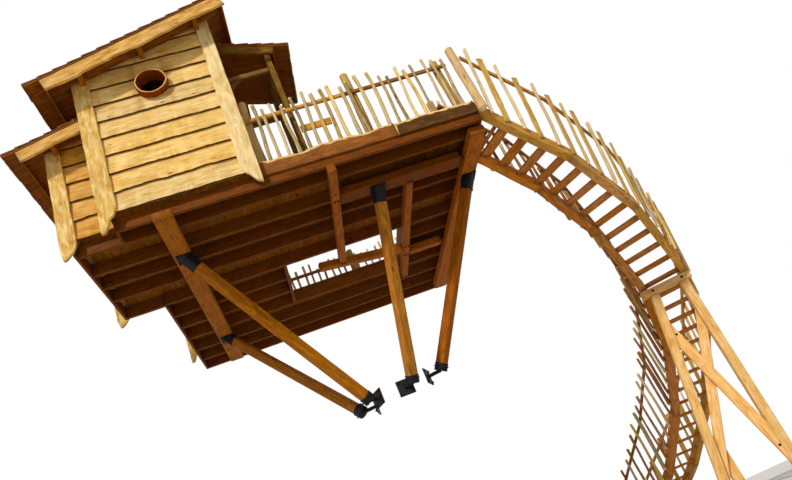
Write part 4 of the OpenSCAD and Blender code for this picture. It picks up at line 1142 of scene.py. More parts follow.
@dataclass
class Beams:
    """The beams that lie on the struts, under the joists, and the short yokes between them."""

    wide: float = 270.0
    tie: float = 130.0
    arris: float = 14.0
    left_x: float = -2590.0
    # How far the left beam passes the deck's front, and ends short of its back.
    left_ends: Pair = (160.0, 280.0)
    middle_x: float = -85.0
    middle_ends: Pair = (-2200.0, 700.0)
    inner_x: float = 1175.0
    inner_end: float = 2070.0
    cross_y: float = -1400.0
    cross_x: Pair = (-20.0, 2078.0)
    # The right beam and the near yoke stand askew.
    right_mid: Pair = (2193.0, 570.0)
    right_half: float = 2620.0
    right_turn: float = 2.9
    yoke_at: Pair = (-520.0, 572.0)
    yoke_turn: float = 11.0
    far_yoke_y: float = 1135.0
    far_yoke_end: float = 1923.0
    bolt_pair: float = 30.0
    bolts: tuple = ((1175, -1330), (-85, -1400), (1175, 812), (1175, 1135), (-85, 640))

    def lay(self, node: str, seed: int, start: Sequence[float], stop: Sequence[float],
            width: float, cuts: tuple = (None, None), finish: Finish = Finish.BEAM) -> None:
        """Lay one beam.

        Args:
            node: the CAD node that it stands for.
            seed: the seed of its chances.
            start: x and y of the middle of one end.
            stop: x and y of the middle of the other end.
            width: its width.
            cuts: the planes of its ends.
            finish: its finish.
        """
        timber = Timber(node + "_timber", seed, finish)
        middle, depth = (PLAN.beam_low + PLAN.beam_top) / 2, PLAN.beam_top - PLAN.beam_low
        timber.bar((*start, middle), (*stop, middle), width, depth, self.arris, cuts=cuts, bow=2.0)
        timber.piece("beam_larch", node)

    def build(self) -> None:
        """Lay every beam."""
        middle, depth = (PLAN.beam_low + PLAN.beam_top) / 2, PLAN.beam_top - PLAN.beam_low
        self.lay("beam_left", 31, (self.left_x, PLAN.deck_y[0] - self.left_ends[0]),
                 (self.left_x, PLAN.deck_y[1] - self.left_ends[1]), self.wide)
        a = math.radians(self.right_turn)
        way = np.array([-math.sin(a), math.cos(a)]) * self.right_half
        self.lay("beam_right", 32, self.right_mid - way, self.right_mid + way, self.wide)
        turn = math.radians(self.yoke_turn)
        along = np.array([math.cos(turn), math.sin(turn)])
        across = np.array([-along[1], along[0]])
        face = (np.array([*self.yoke_at, 0.0]), np.array([*across, 0.0]))
        start, stop = ((self.middle_x, y) for y in self.middle_ends)
        self.lay("beam_middle", 33, start, stop, self.tie, (None, face))
        self.lay("beam_inner", 34, (self.inner_x, self.cross_y + self.wide / 2),
                 (self.inner_x, self.inner_end), self.tie)
        start, stop = ((x, self.cross_y) for x in self.cross_x)
        self.lay("cross_beam", 35, start, stop, self.wide, finish=Finish.JOIST)
        yokes = Timber("trunk_yoke_timber", 36, Finish.BEAM)
        side_x = self.inner_x - self.tie / 2
        yoke = np.array(self.yoke_at) + across * self.tie / 2
        end = yoke + along * (side_x - yoke[0]) / along[0]
        plane = (np.array([side_x - 0.3, 0, 0]), ACROSS)
        yokes.bar((*yoke, middle), (*end, middle), self.tie, depth, self.arris, cuts=(None, plane))
        start, stop = ((x, self.far_yoke_y, middle) for x in (side_x + self.tie, self.far_yoke_end))
        yokes.bar(start, stop, self.tie, depth, self.arris)
        yokes.piece("beam_larch", "trunk_yokes")
        bolts = Timber("beam_bolt_steel", 37, Finish.STEEL)
        for x, y in self.bolts:
            for dx in (-self.bolt_pair, self.bolt_pair):
                bolts.bolt((x + dx, y, PLAN.beam_low), -UP, high=14.0)
        bolts.piece("black_steel")


@dataclass
class Deck:
    """Joists, rim boards, floor boards and the waney boards round the edge."""

    joist_w: float = 60.0
    joist_h: float = 225.0
    joist_y: tuple = (-2160, -1820, -1250, -821, -374, 262, 778, 1283, 1819, 2421, 2946, 3420)
    # The joists between these reach under the bay, up to its own rim.
    bay_joists: Pair = (-1862.0, 232.0)
    bay_in: float = 60.0
    trimmer_y: Pair = (322.0, 1818.0)
    board_w: float = 142.6
    board_step: float = 144.0
    edge_t: float = 40.0
    edge_h: float = 260.0
    edge_low: float = 3090.0
    # The edge boards butt on each other at these places along each side.
    front_edges: tuple = (-1162.0, 1085.0, 1090.0, 2440.0)
    right_edges: tuple = (-1060.0, 1200.0, 1205.0, 3480.0)
    back_edges: tuple = (-2440.0, 420.0, 425.0, 3280.0)

    def build_joists(self) -> None:
        """Lay the joists, with trimmers beside the deck's opening."""
        timber = Timber("floor_joist_timber", 41, Finish.JOIST)
        (x0, x1), (y0, y1), (bay0, bay1) = PLAN.deck_x, PLAN.deck_y, PLAN.bay_y
        rim, clad = PLAN.rim_t, PLAN.clad_t
        bay_x0, half = PLAN.bay_x + self.bay_in, self.joist_w / 2
        mid = PLAN.beam_top + self.joist_h / 2
        cuts = (PLAN.open_x[0] - self.joist_w - 0.3, PLAN.open_x[1] + self.joist_w + 0.3)

        def joist(a: float, b: float, y: float) -> None:
            """Lay one joist from x = a to x = b."""
            timber.bar((a, y + half, mid), (b, y + half, mid), self.joist_w, self.joist_h, bow=6.0)

        for y in self.joist_y:
            start = bay_x0 if self.bay_joists[0] < y < self.bay_joists[1] else x0
            if PLAN.open_y[0] < y < PLAN.open_y[1]:
                joist(start, cuts[0], y)
                joist(cuts[1], x1, y)
            else:
                joist(start, x1, y)
        joist(bay_x0, x0 - 1, bay1 - clad - self.joist_w)
        for x in (cuts[0] + half, cuts[1] - half):
            start, stop = ((x, y, mid) for y in self.trimmer_y)
            timber.bar(start, stop, self.joist_w, self.joist_h)
        timber.piece("joist_timber", "floor_joists")
        rims = Timber("rim_board_timber", 42, Finish.JOIST)
        for x, a, b in ((x1 + rim / 2, y0, y1), (x0 - rim / 2, y0, self.bay_joists[0]),
                        (x0 - rim / 2, bay1, y1), (PLAN.bay_x + rim, bay0 + clad, bay1 - clad)):
            rims.bar((x, a, mid), (x, b, mid), rim, self.joist_h, 4.0, bow=1.0)
        rims.piece("joist_timber", "rim_boards")

    def build_floor(self) -> None:
        """Lay the floor boards, cut round the deck's opening."""
        timber = Timber("floor_board_timber", 43, Finish.FLOOR)
        z, clad, back = PLAN.floor - PLAN.floor_t / 2, PLAN.clad_t, PLAN.deck_y[1]

        def board(x: float, a: float, b: float) -> None:
            """Lay one board from y = a to y = b."""
            timber.bar((x + self.board_w / 2, a, z), (x + self.board_w / 2, b, z), self.board_w,
                       PLAN.floor_t, 4.0, bow=0.4, step=900.0)

        x = PLAN.cab_x[0] + clad
        while x + self.board_w < PLAN.deck_x[1] + PLAN.rim_t + 1:
            front = PLAN.cab_y[0] + clad if x < PLAN.cab_x[1] else PLAN.deck_y[0]
            if x + self.board_w > PLAN.open_x[0] and x < PLAN.open_x[1]:
                board(x, front, PLAN.open_y[0])
                board(x, PLAN.open_y[1], back)
            else:
                board(x, front, back)
            x += self.board_step
        for i in range(1, 5):
            board(PLAN.cab_x[0] + clad - i * self.board_step, PLAN.bay_y[0] + clad,
                  PLAN.bay_y[1] - clad)
        timber.piece("floor_timber", "floor_boards")

    def waney(self, timber: Timber, start: float, stop: float, low: float, high: float,
              at: tuple, k: int, amp: float = 26.0, finish: int = 0) -> None:
        """Add an edge board with a waney top and a pale line where the bark was peeled off.

        Args:
            timber: the mesh that it goes into.
            start: its first end, along the edge.
            stop: its last end.
            low: its lower edge.
            high: the mean height of its waney edge.
            at: its origin, and the directions along it and out of it.
            k: the seed of its waves.
            amp: the rise of its waves.
            finish: the number of its finish.
        """
        n = max(4, int(abs(stop - start) / 45))
        x = np.linspace(start, stop, n)
        top = high + ripple(x, amp, k, 1150.0)
        bottom = low + ripple(x, 5.0, k + 1, 900.0)
        outline = np.concatenate([np.column_stack([x, bottom]), np.column_stack([x, top])[::-1]])
        bevel = np.concatenate([np.full(n, 4.0),
                                36.0 + 30.0 * np.abs(ripple(x, 1.0, k + 2, 400.0))])
        origin, across, out = at
        timber.slab(outline, origin, across, UP, out, self.edge_t, bevel, along=0, finish=finish,
                    rim=2)

    def build_edges(self) -> None:
        """Nail the waney edge boards on."""
        timber = Timber("live_edge_timber", 44, Finish.EDGE, Finish.EDGE_DARK, Finish.EDGE_PALE)
        low, top, t = self.edge_low, self.edge_low + self.edge_h, self.edge_t
        front = (BACKWARD * (PLAN.deck_y[0] - t), ACROSS, -BACKWARD)
        a, b, c, d = self.front_edges
        self.waney(timber, a, b, low, top, front, 441, 40.0)
        self.waney(timber, c, d, low - 4, top - 10, front, 444, 22.0, 1)
        right = (ACROSS * (PLAN.deck_x[1] + PLAN.rim_t + t), BACKWARD, ACROSS)
        back = (BACKWARD * (PLAN.deck_y[1] + t), -ACROSS, BACKWARD)
        for (a, b, c, d), at, k in ((self.right_edges, right, 447), (self.back_edges, back, 453)):
            self.waney(timber, a, b, low, top, at, k)
            self.waney(timber, c, d, low, top, at, k + 3)
        timber.piece("waney_board", "live_edges")

    def build(self) -> None:
        """Build the deck."""
        self.build_joists()
        self.build_floor()
        self.build_edges()


class Side(Enum):
    """The side that a wall looks to: the direction along it, and the way out."""

    FRONT = ((1.0, 0.0, 0.0), (0.0, -1.0, 0.0))
    BACK = ((1.0, 0.0, 0.0), (0.0, 1.0, 0.0))
    LEFT = ((0.0, 1.0, 0.0), (-1.0, 0.0, 0.0))
    RIGHT = ((0.0, 1.0, 0.0), (1.0, 0.0, 0.0))


@dataclass
class Cladding:
    """Lapped waney boards on one wall, from the sill up to the roof."""

    name: str
    side: Side
    face: float
    seed: int
    # The window's x and height, and the radius that the boards are cut to.
    ring: Triple | None = None
    finish: Finish = Finish.LAPPED
    rows: int = 16
    pitch: float = 348.0
    low: float = 3180.0
    proud: float = 11.0
    fall: float = 22.0
    hang: float = 15.0
    board_t: float = 25.0

    def __post_init__(self) -> None:
        """Start the wall's mesh."""
        self.timber = Timber(self.name, self.seed, self.finish, Finish.LAP_SHADOW)
        self.chances = self.timber.rng.random(32)

    def board(self, i: int, along: Array, low: Array, high: Array) -> None:
        """Add a stretch of one board.

        Args:
            i: the board's number from the sill.
            along: stations along the wall.
            low: the lower edge at each.
            high: the upper edge at each.
        """
        foot = self.low + i * self.pitch
        away = (self.proud + self.fall) / self.pitch
        d_low, d_high = (self.proud - (edge - foot) * away for edge in (low, high))
        # The waney lower edge and the underside of each board take the dark lap shadow finish,
        # painted shade, so that each lap shows as a dark line.
        wane = 9.0 + 9.0 * np.abs(ripple(along, 1.0, self.seed + 9 * i, 300.0))
        section = np.stack([
            np.column_stack(corner) for corner in (
                (d_low - 8.0, low), (d_low, low + wane), (d_high, high),
                (d_high - self.board_t, high), (d_low - self.board_t, low))], axis=1)
        way, out = (np.array(v) for v in self.side.value)
        path = self.face * np.abs(out) + np.outer(along, way)
        self.timber.sweep(path, out, UP, section, bevel=0.5, chance=float(self.chances[i]),
                          bands={0: 1, 4: 1})

    def stretch(self, start: float, stop: float, bottom: float,
                top: Callable[[Array], Array] | float) -> None:
        """Board a stretch of the wall.

        Args:
            start: its first end along the wall.
            stop: its last end.
            bottom: the height that it starts at.
            top: the height that it ends at, as a number or by place along the wall.
        """
        along = np.linspace(start, stop, max(2, int((stop - start) / 55)) + 1)
        if self.ring:
            centre, _, radius = self.ring
            across = centre + radius * np.cos(np.linspace(math.pi, 0, 25))
            along = np.unique(np.concatenate([along, across]))
        limit = top(along) if callable(top) else np.full(len(along), top)
        for i in range(self.rows):
            foot = self.low + i * self.pitch
            wave = 18.0 if i == 1 else 8.0
            edge = foot - self.hang - ripple(along, wave, self.seed + 31 * i, 900.0)
            self.cut(i, along, np.maximum(edge, bottom), np.minimum(foot + self.pitch + 12, limit))

    def cut(self, i: int, along: Array, low: Array, high: Array) -> None:
        """Cut one board round the window, and add what is left of it.

        Args:
            i: the board's number.
            along: stations along the wall.
            low: its lower edge.
            high: its upper edge.
        """
        centre, level, radius = self.ring or (0.0, 0.0, 0.0)
        if not self.ring or high.max() < level - radius or low.min() > level + radius:
            self.runs(i, along, low, high)
            return
        half = np.sqrt(np.maximum(radius ** 2 - (along - centre) ** 2, 0.0))
        for part in (along <= centre - radius + 1e-6, along >= centre + radius - 1e-6):
            self.runs(i, along[part], low[part], high[part])
        span = np.abs(along - centre) < radius + 1e-6
        self.runs(i, along[span], low[span], np.minimum(high, level - half)[span])
        self.runs(i, along[span], np.maximum(low, level + half)[span], high[span])

    def runs(self, i: int, along: Array, low: Array, high: Array) -> None:
        """Add the stretches of a board that have some height.

        Args:
            i: the board's number.
            along: stations along the wall.
            low: its lower edge.
            high: its upper edge.
        """
        good = np.concatenate([[False], high - low > 4.0, [False]])
        turns = np.flatnonzero(good[1:] != good[:-1])
        for a, b in zip(turns[::2], turns[1::2]):
            if b - a > 1:
                self.board(i, along[a:b], low[a:b], high[a:b])


@dataclass(frozen=True)
class Tongue:
    """The shape of a corner board, which narrows to a tongue below the floor. The curve gives
    shares of the board's width at shares of the way from the swoop down to the tip."""

    w_low: float
    w_top: float
    z_top: float
    swoop: float
    tip: float
    edge: float
    curve: tuple[Pair, ...]


LONG_TONGUE = Tongue(275.0, 250.0, 2819.0, 22.0, -370.0, 0.01, (
    (0.0, 1.0), (0.14, 0.91), (0.30, 0.79), (0.36, 0.71), (0.42, 0.59), (0.53, 0.53), (0.69, 0.45),
    (0.85, 0.35), (0.96, 0.27), (1.0, 0.20)))
SHORT_TONGUE = Tongue(275.0, 190.0, 4710.0, 60.0, -288.0, 0.05, (
    (0.0, 0.96), (0.14, 0.93), (0.33, 0.81), (0.49, 0.61), (0.74, 0.44), (0.89, 0.32), (1.0, 0.08)))
BAY_TONGUE = Tongue(245.0, 225.0, 1893.0, -90.0, -354.0, 0.12, (
    (0.0, 1.0), (0.25, 0.96), (0.5, 0.82), (0.75, 0.60), (0.92, 0.42), (1.0, 0.30)))


@dataclass
class Cabin:
    """The cabin and its bay: cladding, corner boards and the hollow-log window."""

    sill: float = 3160.0
    way_top: float = 5190.0
    door_y: Pair = (-1700.0, -900.0)
    door_h: float = 1900.0
    corner_t: float = 45.0
    corner_over: float = 125.0
    ring_at: Pair = (-2226.0, 5382.0)
    ring_r: float = 264.0
    hole_r: float = 212.0
    ring_proud: float = 110.0
    ring_back: float = 116.0

    def build_walls(self) -> None:
        """Board all the walls, and line the CAD walls behind the boards."""
        (x0, x1), (y0, y1), clad = PLAN.cab_x, PLAN.cab_y, PLAN.clad_t
        bx, (by0, by1), sill, deck = PLAN.bay_x, PLAN.bay_y, self.sill, PLAN.floor + 2
        (d0, d1), main, low = self.door_y, MAIN_SLOPE.soffit, BAY_SLOPE.soffit
        eaves, ridge, bay_eaves = (float(h) - 2 for h in (main(x0), main(x1), low(bx)))
        ring = (*self.ring_at, self.ring_r - 18)
        # Each wall's name, side, face and seed, and its stretches from end to end and up.
        walls = (
            ("front", Side.FRONT, y0, 510, ((x0, x1, sill, main),)),
            ("back", Side.BACK, y1, 520, ((x0, x1, deck, main),)),
            ("left", Side.LEFT, x0, 530, (
                (y0 + clad, by0, sill, eaves), (by1, y1 - clad, sill, eaves),
                (by0, by1, self.way_top, eaves))),
            ("right", Side.RIGHT, x1, 540, (
                (y0 + clad, d0, deck, ridge), (d1, y1 - clad, deck, ridge),
                (d0, d1, PLAN.floor + self.door_h, ridge))),
            ("bay_front", Side.FRONT, by0, 550, ((bx, x0, sill, low),)),
            ("bay_back", Side.BACK, by1, 560, ((bx, x0, sill, low),)),
            ("bay_side", Side.LEFT, bx, 570, ((by0 + clad, by1 - clad, sill, bay_eaves),)))
        for name, side, face, seed, stretches in walls:
            wall = Cladding(name + "_cladding", side, face, seed, ring if name == "front" else None,
                            Finish.LAPPED_BAY if "bay" in name else Finish.LAPPED)
            for stretch in stretches:
                wall.stretch(*stretch)
            wall.timber.piece("lapped_larch")
            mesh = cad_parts[name + "_wall"].data
            mesh.materials.clear()
            mesh.materials.append(Finish.LINING.value.material())
            LOG.info("%s_wall: lined", name)

    def tongue(self, timber: Timber, outer: float, face: float, flip: float, out: float,
               board: Tongue, slope: Slope, k: int, foot: float = -1e9, finish: int = 0) -> None:
        """Add a corner board that ends in a hanging tongue.

        Args:
            timber: the mesh that it goes into.
            outer: x of its outer edge.
            face: y of the wall's face.
            flip: 1 where the board runs to +x from its outer edge, -1 where it runs to -x.
            out: the sign of y that it looks to.
            board: its shape.
            slope: the roof that cuts it.
            k: the seed of its waves.
            foot: a height that it is cut off at.
            finish: the number of its finish.
        """
        t = np.linspace(0.0, 1.0, 30)
        share = np.interp(t, *np.array(board.curve).T)
        share[1:-1] = (share[:-2] + 2 * share[1:-1] + share[2:]) / 4
        curve = np.column_stack([board.w_low * share, board.swoop + (board.tip - board.swoop) * t])
        z = np.linspace(board.swoop, board.z_top, 46)[1:]
        grown = np.clip((z - board.swoop) / 400, 0, 1)
        inner = np.column_stack([board.w_low + (board.w_top - board.w_low) * (z - board.swoop)
                                 / (board.z_top - board.swoop)
                                 + grown * ripple(z, 8.0, k, 700.0), z])
        z = np.linspace(board.z_top, board.tip, 50)
        edge = np.column_stack([ripple(z, 6.0, k + 1, 900.0) + 4.0, z])
        edge[-4:, 0] += board.w_low * board.edge * np.array([0.1, 0.3, 0.6, 1.0])
        outline = np.concatenate([curve[::-1], inner, edge])
        roof = slope.soffit(outer + flip * outline[:, 0]) - 1.0 - PLAN.floor
        outline[:, 1] = np.clip(outline[:, 1], foot, roof)
        keep = np.linalg.norm(outline - np.roll(outline, 1, axis=0), axis=1) > 0.5
        timber.slab(outline[keep], (outer, face + out * self.corner_t, PLAN.floor), flip * ACROSS,
                    UP, out * BACKWARD, self.corner_t, 6.0, finish=finish)

    def build_corners(self) -> None:
        """Nail the corner boards on. At the back, the short one stands on the deck."""
        for name, i, out, seed, foot in (("front", 0, -1.0, 610, -1e9), ("back", 1, 1.0, 640, 1.0)):
            timber = Timber(name + "_corner_timber", seed, Finish.WANEY, Finish.WANEY_DARKER)
            self.tongue(timber, PLAN.cab_x[0] - self.corner_over, PLAN.cab_y[i], 1.0, out,
                        LONG_TONGUE, MAIN_SLOPE, seed + 1, finish=1)
            self.tongue(timber, PLAN.cab_x[1] + self.corner_over, PLAN.cab_y[i], -1.0, out,
                        SHORT_TONGUE, MAIN_SLOPE, seed + 4, foot)
            self.tongue(timber, PLAN.bay_x - self.corner_over, PLAN.bay_y[i], 1.0, out,
                        BAY_TONGUE, BAY_SLOPE, seed + 7, finish=1)
            timber.piece("waney_board", name + "_corner_boards")

    def build_window(self) -> None:
        """Set the hollow log in the front wall: cut flat at both ends, uneven round its outside."""
        timber = Timber("hollow_log_window", 66, Finish.HOLLOW, Finish.LOGFACE)
        n = 72
        turn = np.linspace(0, 2 * math.pi, n, endpoint=False)
        outer = self.ring_r - 6 + 2 * np.cos(8 * turn + 0.4) + ripple(turn * 180, 5.0, 67, 400.0)
        wall = 27.0 + ripple(turn * 160, 6.0, 68, 330.0)
        throat = self.hole_r + 4 + 2 * np.cos(8 * turn + 0.4)
        back, front = PLAN.cab_y[0] + self.ring_back, PLAN.cab_y[0] - self.ring_proud
        rows = ((outer, back), (outer, (front + back) / 2), (outer, front + 8),
                (outer - 7, front), (outer - wall, front), (outer - wall - 4, front + 6),
                (0.4 * outer + 0.6 * throat - 12, front + 70), (throat, back))
        rings = [radius[:, None] * circle(n) for radius, _ in rows]
        points = [np.column_stack([self.ring_at[0] + ring[:, 0], np.full(n, y),
                                   self.ring_at[1] + ring[:, 1]])
                  for ring, (_, y) in zip(rings, rows)]
        lay = [np.column_stack([np.full(n, y - front), ring]) for ring, (_, y) in zip(rings, rows)]
        m = len(rows) * n
        quads = [[i % m for i in face] for face in tube(n, len(rows) + 1)]
        # The sawn wood lies between the fourth ring and the fifth, and between the last and the
        # first.
        sawn = quads[3 * n:4 * n] + quads[7 * n:]
        sides = quads[:3 * n] + quads[4 * n:7 * n]
        timber.add(np.concatenate(points), np.concatenate(lay), np.full(m, 200.0), sides + sawn,
                   [0] * len(sides) + [1] * len(sawn), True, 0.31)
        timber.piece("hollow_log", "window_ring")

    def build(self) -> None:
        """Build the cabin."""
        self.build_walls()
        self.build_corners()
        self.build_window()


@dataclass
class Roof:
    """One roof: boarding along the slope, shakes in courses, fascias and eave boards."""

    name: str
    slope: Slope
    board_u: Pair
    board_y: Pair
    shake_u: Pair
    shake_y: Pair
    seed: int
    turned: bool = False
    boarding_t: float = 30.0
    board_w: float = 142.0
    shake_t: float = 26.0
    pitch: float = 250.0
    lap: float = 45.0
    widths: Pair = (95.0, 210.0)
    fascia_t: float = 40.0
    eave_t: float = 25.0

    def build_boarding(self) -> None:
        """Lay the boards that carry the shakes, up and down the slope."""
        timber = Timber(self.name + "_roof_boarding", self.seed, Finish.BOARDING)
        y0, y1 = self.board_y
        count = round((y1 - y0) / self.board_w)
        step = (y1 - y0) / count
        for i in range(count):
            start, stop = (self.slope.at(u, y0 + (i + 0.5) * step, self.boarding_t / 2)
                           for u in self.board_u)
            timber.bar(start, stop, step - 3, self.boarding_t - 1, 3.0, side=BACKWARD,
                       top=self.slope.out, bow=0.4, step=700.0)
        timber.piece("roof_boarding", self.name + "_roof_deck")

    def build_shakes(self, clip: Callable[[float, float], bool] | None = None) -> None:
        """Lay the shakes, course by course from the low edge up.

        Args:
            clip: says whether a shake at u and y is left out.
        """
        timber = Timber(self.name + "_roof_shake", self.seed + 1, Finish.SHAKE)
        length = self.shake_u[1] - self.shake_u[0]
        count = math.ceil(length / self.pitch)
        step = length / count
        # A first course lies under the lowest one.
        for i in range(-1, count):
            y = self.shake_y[0]
            while y < self.shake_y[1] - 1:
                wide = float(timber.rng.uniform(*self.widths))
                if self.shake_y[1] - y - wide < 80:
                    wide = self.shake_y[1] - y
                butt = max(i, 0) * step + float(timber.rng.uniform(0, 16))
                top = min((max(i, 0) + 1) * step + self.lap, length)
                lift = float(timber.rng.uniform(-7, 0))
                self.shake(timber, butt, top, i * step, y + 2, y + wide - 2, lift, clip)
                y += wide
        timber.piece("red_shakes", self.name + "_roof_shakes")

    def shake(self, timber: Timber, butt: float, top: float, line: float, y0: float, y1: float,
              lift: float, clip: Callable[[float, float], bool] | None) -> None:
        """Lay one shake.

        Args:
            timber: the mesh that it goes into.
            butt: its low end, above the roof's low edge.
            top: its high end.
            line: its course's line.
            y0: its front side.
            y1: its back side.
            lift: how far its butt lies below the greatest height.
            clip: says whether it is left out.
        """
        run = np.array([butt, (butt + top) / 2, top])
        fall = (run - line) * (self.shake_t / self.pitch)
        high = np.maximum(self.boarding_t + 2 * self.shake_t + lift - fall, self.boarding_t + 4.0)
        low = np.maximum(self.boarding_t + self.shake_t - fall + lift * 0.5, self.boarding_t + 0.5)
        u = self.shake_u[1] - run if self.turned else self.shake_u[0] + run
        if clip and clip(float(u[0]), (y0 + y1) / 2):
            return
        tilt, b = float(timber.rng.uniform(-3, 3)), 3.0
        left, right = high - max(tilt, 0.0), high - abs(tilt) * 0.5
        corners = ((y0, low), (y1, low), (y1, right - b), (y1 - b, right), (y0 + b, left),
                   (y0, left - b))
        section = np.stack([np.column_stack([np.full(3, y), w]) for y, w in corners], axis=1)
        timber.sweep(self.slope.at(u, 0.0, 0.0), BACKWARD, self.slope.out, section, bevel=2.0)

    def waney_fascia(self, timber: Timber, u0: float, u1: float, depth: float, y: float,
                     out: float, k: int, amp: float = 24.0) -> None:
        """Add a fascia with a waney lower edge.

        Args:
            timber: the mesh that it goes into.
            u0: its low end.
            u1: its high end.
            depth: its mean depth below the boarding's top.
            y: the face that it is nailed to.
            out: the sign of y that it looks to.
            k: the seed of its waves.
            amp: the rise of its waves.
        """
        n = max(6, int((u1 - u0) / 45))
        u = np.linspace(u0, u1, n)
        low = self.boarding_t - depth + ripple(u, amp, k, 1300.0)
        # The boarding runs out over its top.
        high = np.full(n, -0.5)
        outline = np.concatenate([np.column_stack([u, low]), np.column_stack([u, high])[::-1]])
        bevel = np.concatenate([9.0 + 8.0 * np.abs(ripple(u, 1.0, k + 2, 420.0)), np.full(n, 4.0)])
        origin = self.slope.at(0.0, y + out * self.fascia_t, 0.0)
        timber.slab(outline, origin, self.slope.along, self.slope.out, out * BACKWARD,
                    self.fascia_t, bevel, along=0)

    def cross_board(self, timber: Timber, u: float, y0: float, y1: float, depth: float) -> None:
        """Add a board of the second finish across the slope, under the boarding's edge.

        Args:
            timber: the mesh that it goes into.
            u: its outer face along the slope.
            y0: its front end.
            y1: its back end.
            depth: its depth below the boarding.
        """
        start, stop = (self.slope.at(u - self.eave_t / 2, y, -depth / 2) for y in (y0, y1))
        timber.bar(start, stop, self.eave_t, depth, 4.0, side=self.slope.along,
                   top=self.slope.out, finish=1)


@dataclass
class Roofs:
    """The main roof, the bay's roof and their purlins."""

    purlin_w: float = 80.0
    purlin_h: float = 140.0
    # How far the frame of each roof reaches past its walls.
    over: float = 360.0
    bay_over: float = 300.0
    # The frames' level ends, counted from the cabin's left wall.
    main_run: Pair = (-450.0, 2496.0)
    bay_run: float = -1078.0
    # The boarding reaches past the frame at the sides, and the shakes past the boarding.
    side_over: float = 52.0
    shake_over: float = 60.0
    # The same at the low and the high end, along the slope.
    eave_over: float = 264.0
    eave_shakes: float = 279.0
    ridge_over: float = 40.0
    ridge_shakes: float = 55.0
    bay_eave_over: float = 214.0
    bay_eave_shakes: float = 229.0
    # The depths of the fascias and of the boards across the eaves, on the main roof and the bay's.
    fascia_low: float = 25.0
    fascia_h: Pair = (270.0, 230.0)
    eave_h: Pair = (150.0, 130.0)
    bay_fascia_end: float = -133.0

    def purlin(self, timber: Timber, slope: Slope, x: float, y0: float, y1: float) -> None:
        """Lay a plumb purlin with its top bevelled to the roof.

        Args:
            timber: the mesh that it goes into.
            slope: the roof.
            x: its left side.
            y0: its front end.
            y1: its back end.
        """
        wide, c = self.purlin_w, 6.0
        a, b = float(slope.soffit(x)) - 0.5, float(slope.soffit(x + wide)) - 0.5
        low = a - self.purlin_h
        section = np.array([[c, low], [wide - c, low], [wide, low + c], [wide, b - c],
                            [wide - c, b - 2], [c, a], [0, a - c], [0, low + c]])
        section -= np.array([wide / 2, (a + low) / 2])
        path = np.array([[x + wide / 2, y, (a + low) / 2] for y in np.linspace(y0, y1, 14)])
        timber.sweep(path, ACROSS, UP, section, bevel=5.0)

    def roof(self, name: str, slope: Slope, u: Pair, shakes: Pair, y: Pair, seed: int) -> Roof:
        """Start a roof, and lay its boarding.

        Args:
            name: its name.
            slope: its slope.
            u: the ends of its boarding along the slope.
            shakes: the ends of its shakes.
            y: the ends of its frame from front to back.
            seed: the seed of its chances.

        Returns:
            The roof.
        """
        side, shake = self.side_over, self.shake_over
        roof = Roof(name, slope, u, (y[0] - side, y[1] + side), shakes,
                    (y[0] - shake, y[1] + shake), seed)
        roof.build_boarding()
        return roof

    def build(self) -> None:
        """Build both roofs."""
        u0, u1 = (MAIN_SLOPE.length(run) for run in self.main_run)
        y0, y1 = PLAN.cab_y[0] - self.over, PLAN.cab_y[1] + self.over
        main = self.roof("main", MAIN_SLOPE, (u0 - self.eave_over, u1 + self.ridge_over),
                         (u0 - self.eave_shakes, u1 + self.ridge_shakes), (y0, y1), 710)
        main.build_shakes()
        timber = Timber("main_fascia_timber", 715, Finish.FASCIA, Finish.BOARDING)
        for y, out, k in ((y0, -1.0, 716), (y1, 1.0, 726)):
            main.waney_fascia(timber, u0 - self.fascia_low, u1, self.fascia_h[0], y, out, k)
        for u in (u0, u1):
            main.cross_board(timber, u, y0, y1, self.eave_h[0])
        timber.piece("waney_board", "main_fascias")
        # The purlins take the darker beam finish: painted shade under the roof.
        timber = Timber("main_purlin_timber", 718, Finish.BEAM)
        x0, x1, clad, wide = *PLAN.cab_x, PLAN.clad_t, self.purlin_w
        for x in (x0 + clad, (x0 + x1 - wide) / 2, x1 - clad - wide):
            self.purlin(timber, MAIN_SLOPE, x, y0, y1)
        timber.piece("joist_timber", "main_purlins")
        b0 = BAY_SLOPE.length(self.bay_run)
        y0, y1 = PLAN.bay_y[0] - self.bay_over, PLAN.bay_y[1] + self.bay_over
        bay = self.roof("bay", BAY_SLOPE, (b0 - self.bay_eave_over, 0.0),
                        (b0 - self.bay_eave_shakes, 0.0), (y0, y1), 730)
        # The cabin's corner board stands where the bay's last shakes would lie.
        limit = BAY_SLOPE.length(x0 - Cabin().corner_over - 0.3 - BAY_SLOPE.x)
        bay.build_shakes(lambda u, y: u > limit and y < PLAN.cab_y[0] + 100)
        timber = Timber("bay_fascia_timber", 735, Finish.FASCIA, Finish.BOARDING)
        for y, out, k in ((y0, -1.0, 736), (y1, 1.0, 746)):
            bay.waney_fascia(timber, b0 - self.fascia_low, self.bay_fascia_end, self.fascia_h[1],
                             y, out, k, 20.0)
        bay.cross_board(timber, b0, y0, y1, self.eave_h[1])
        timber.piece("waney_board", "bay_fascias")
        # The bay's purlin takes the darker beam finish too: painted shade under the roof.
        timber = Timber("bay_purlin_timber", 738, Finish.BEAM)
        self.purlin(timber, BAY_SLOPE, PLAN.bay_x + clad, y0, y1)
        timber.piece("joist_timber", "bay_purlins")


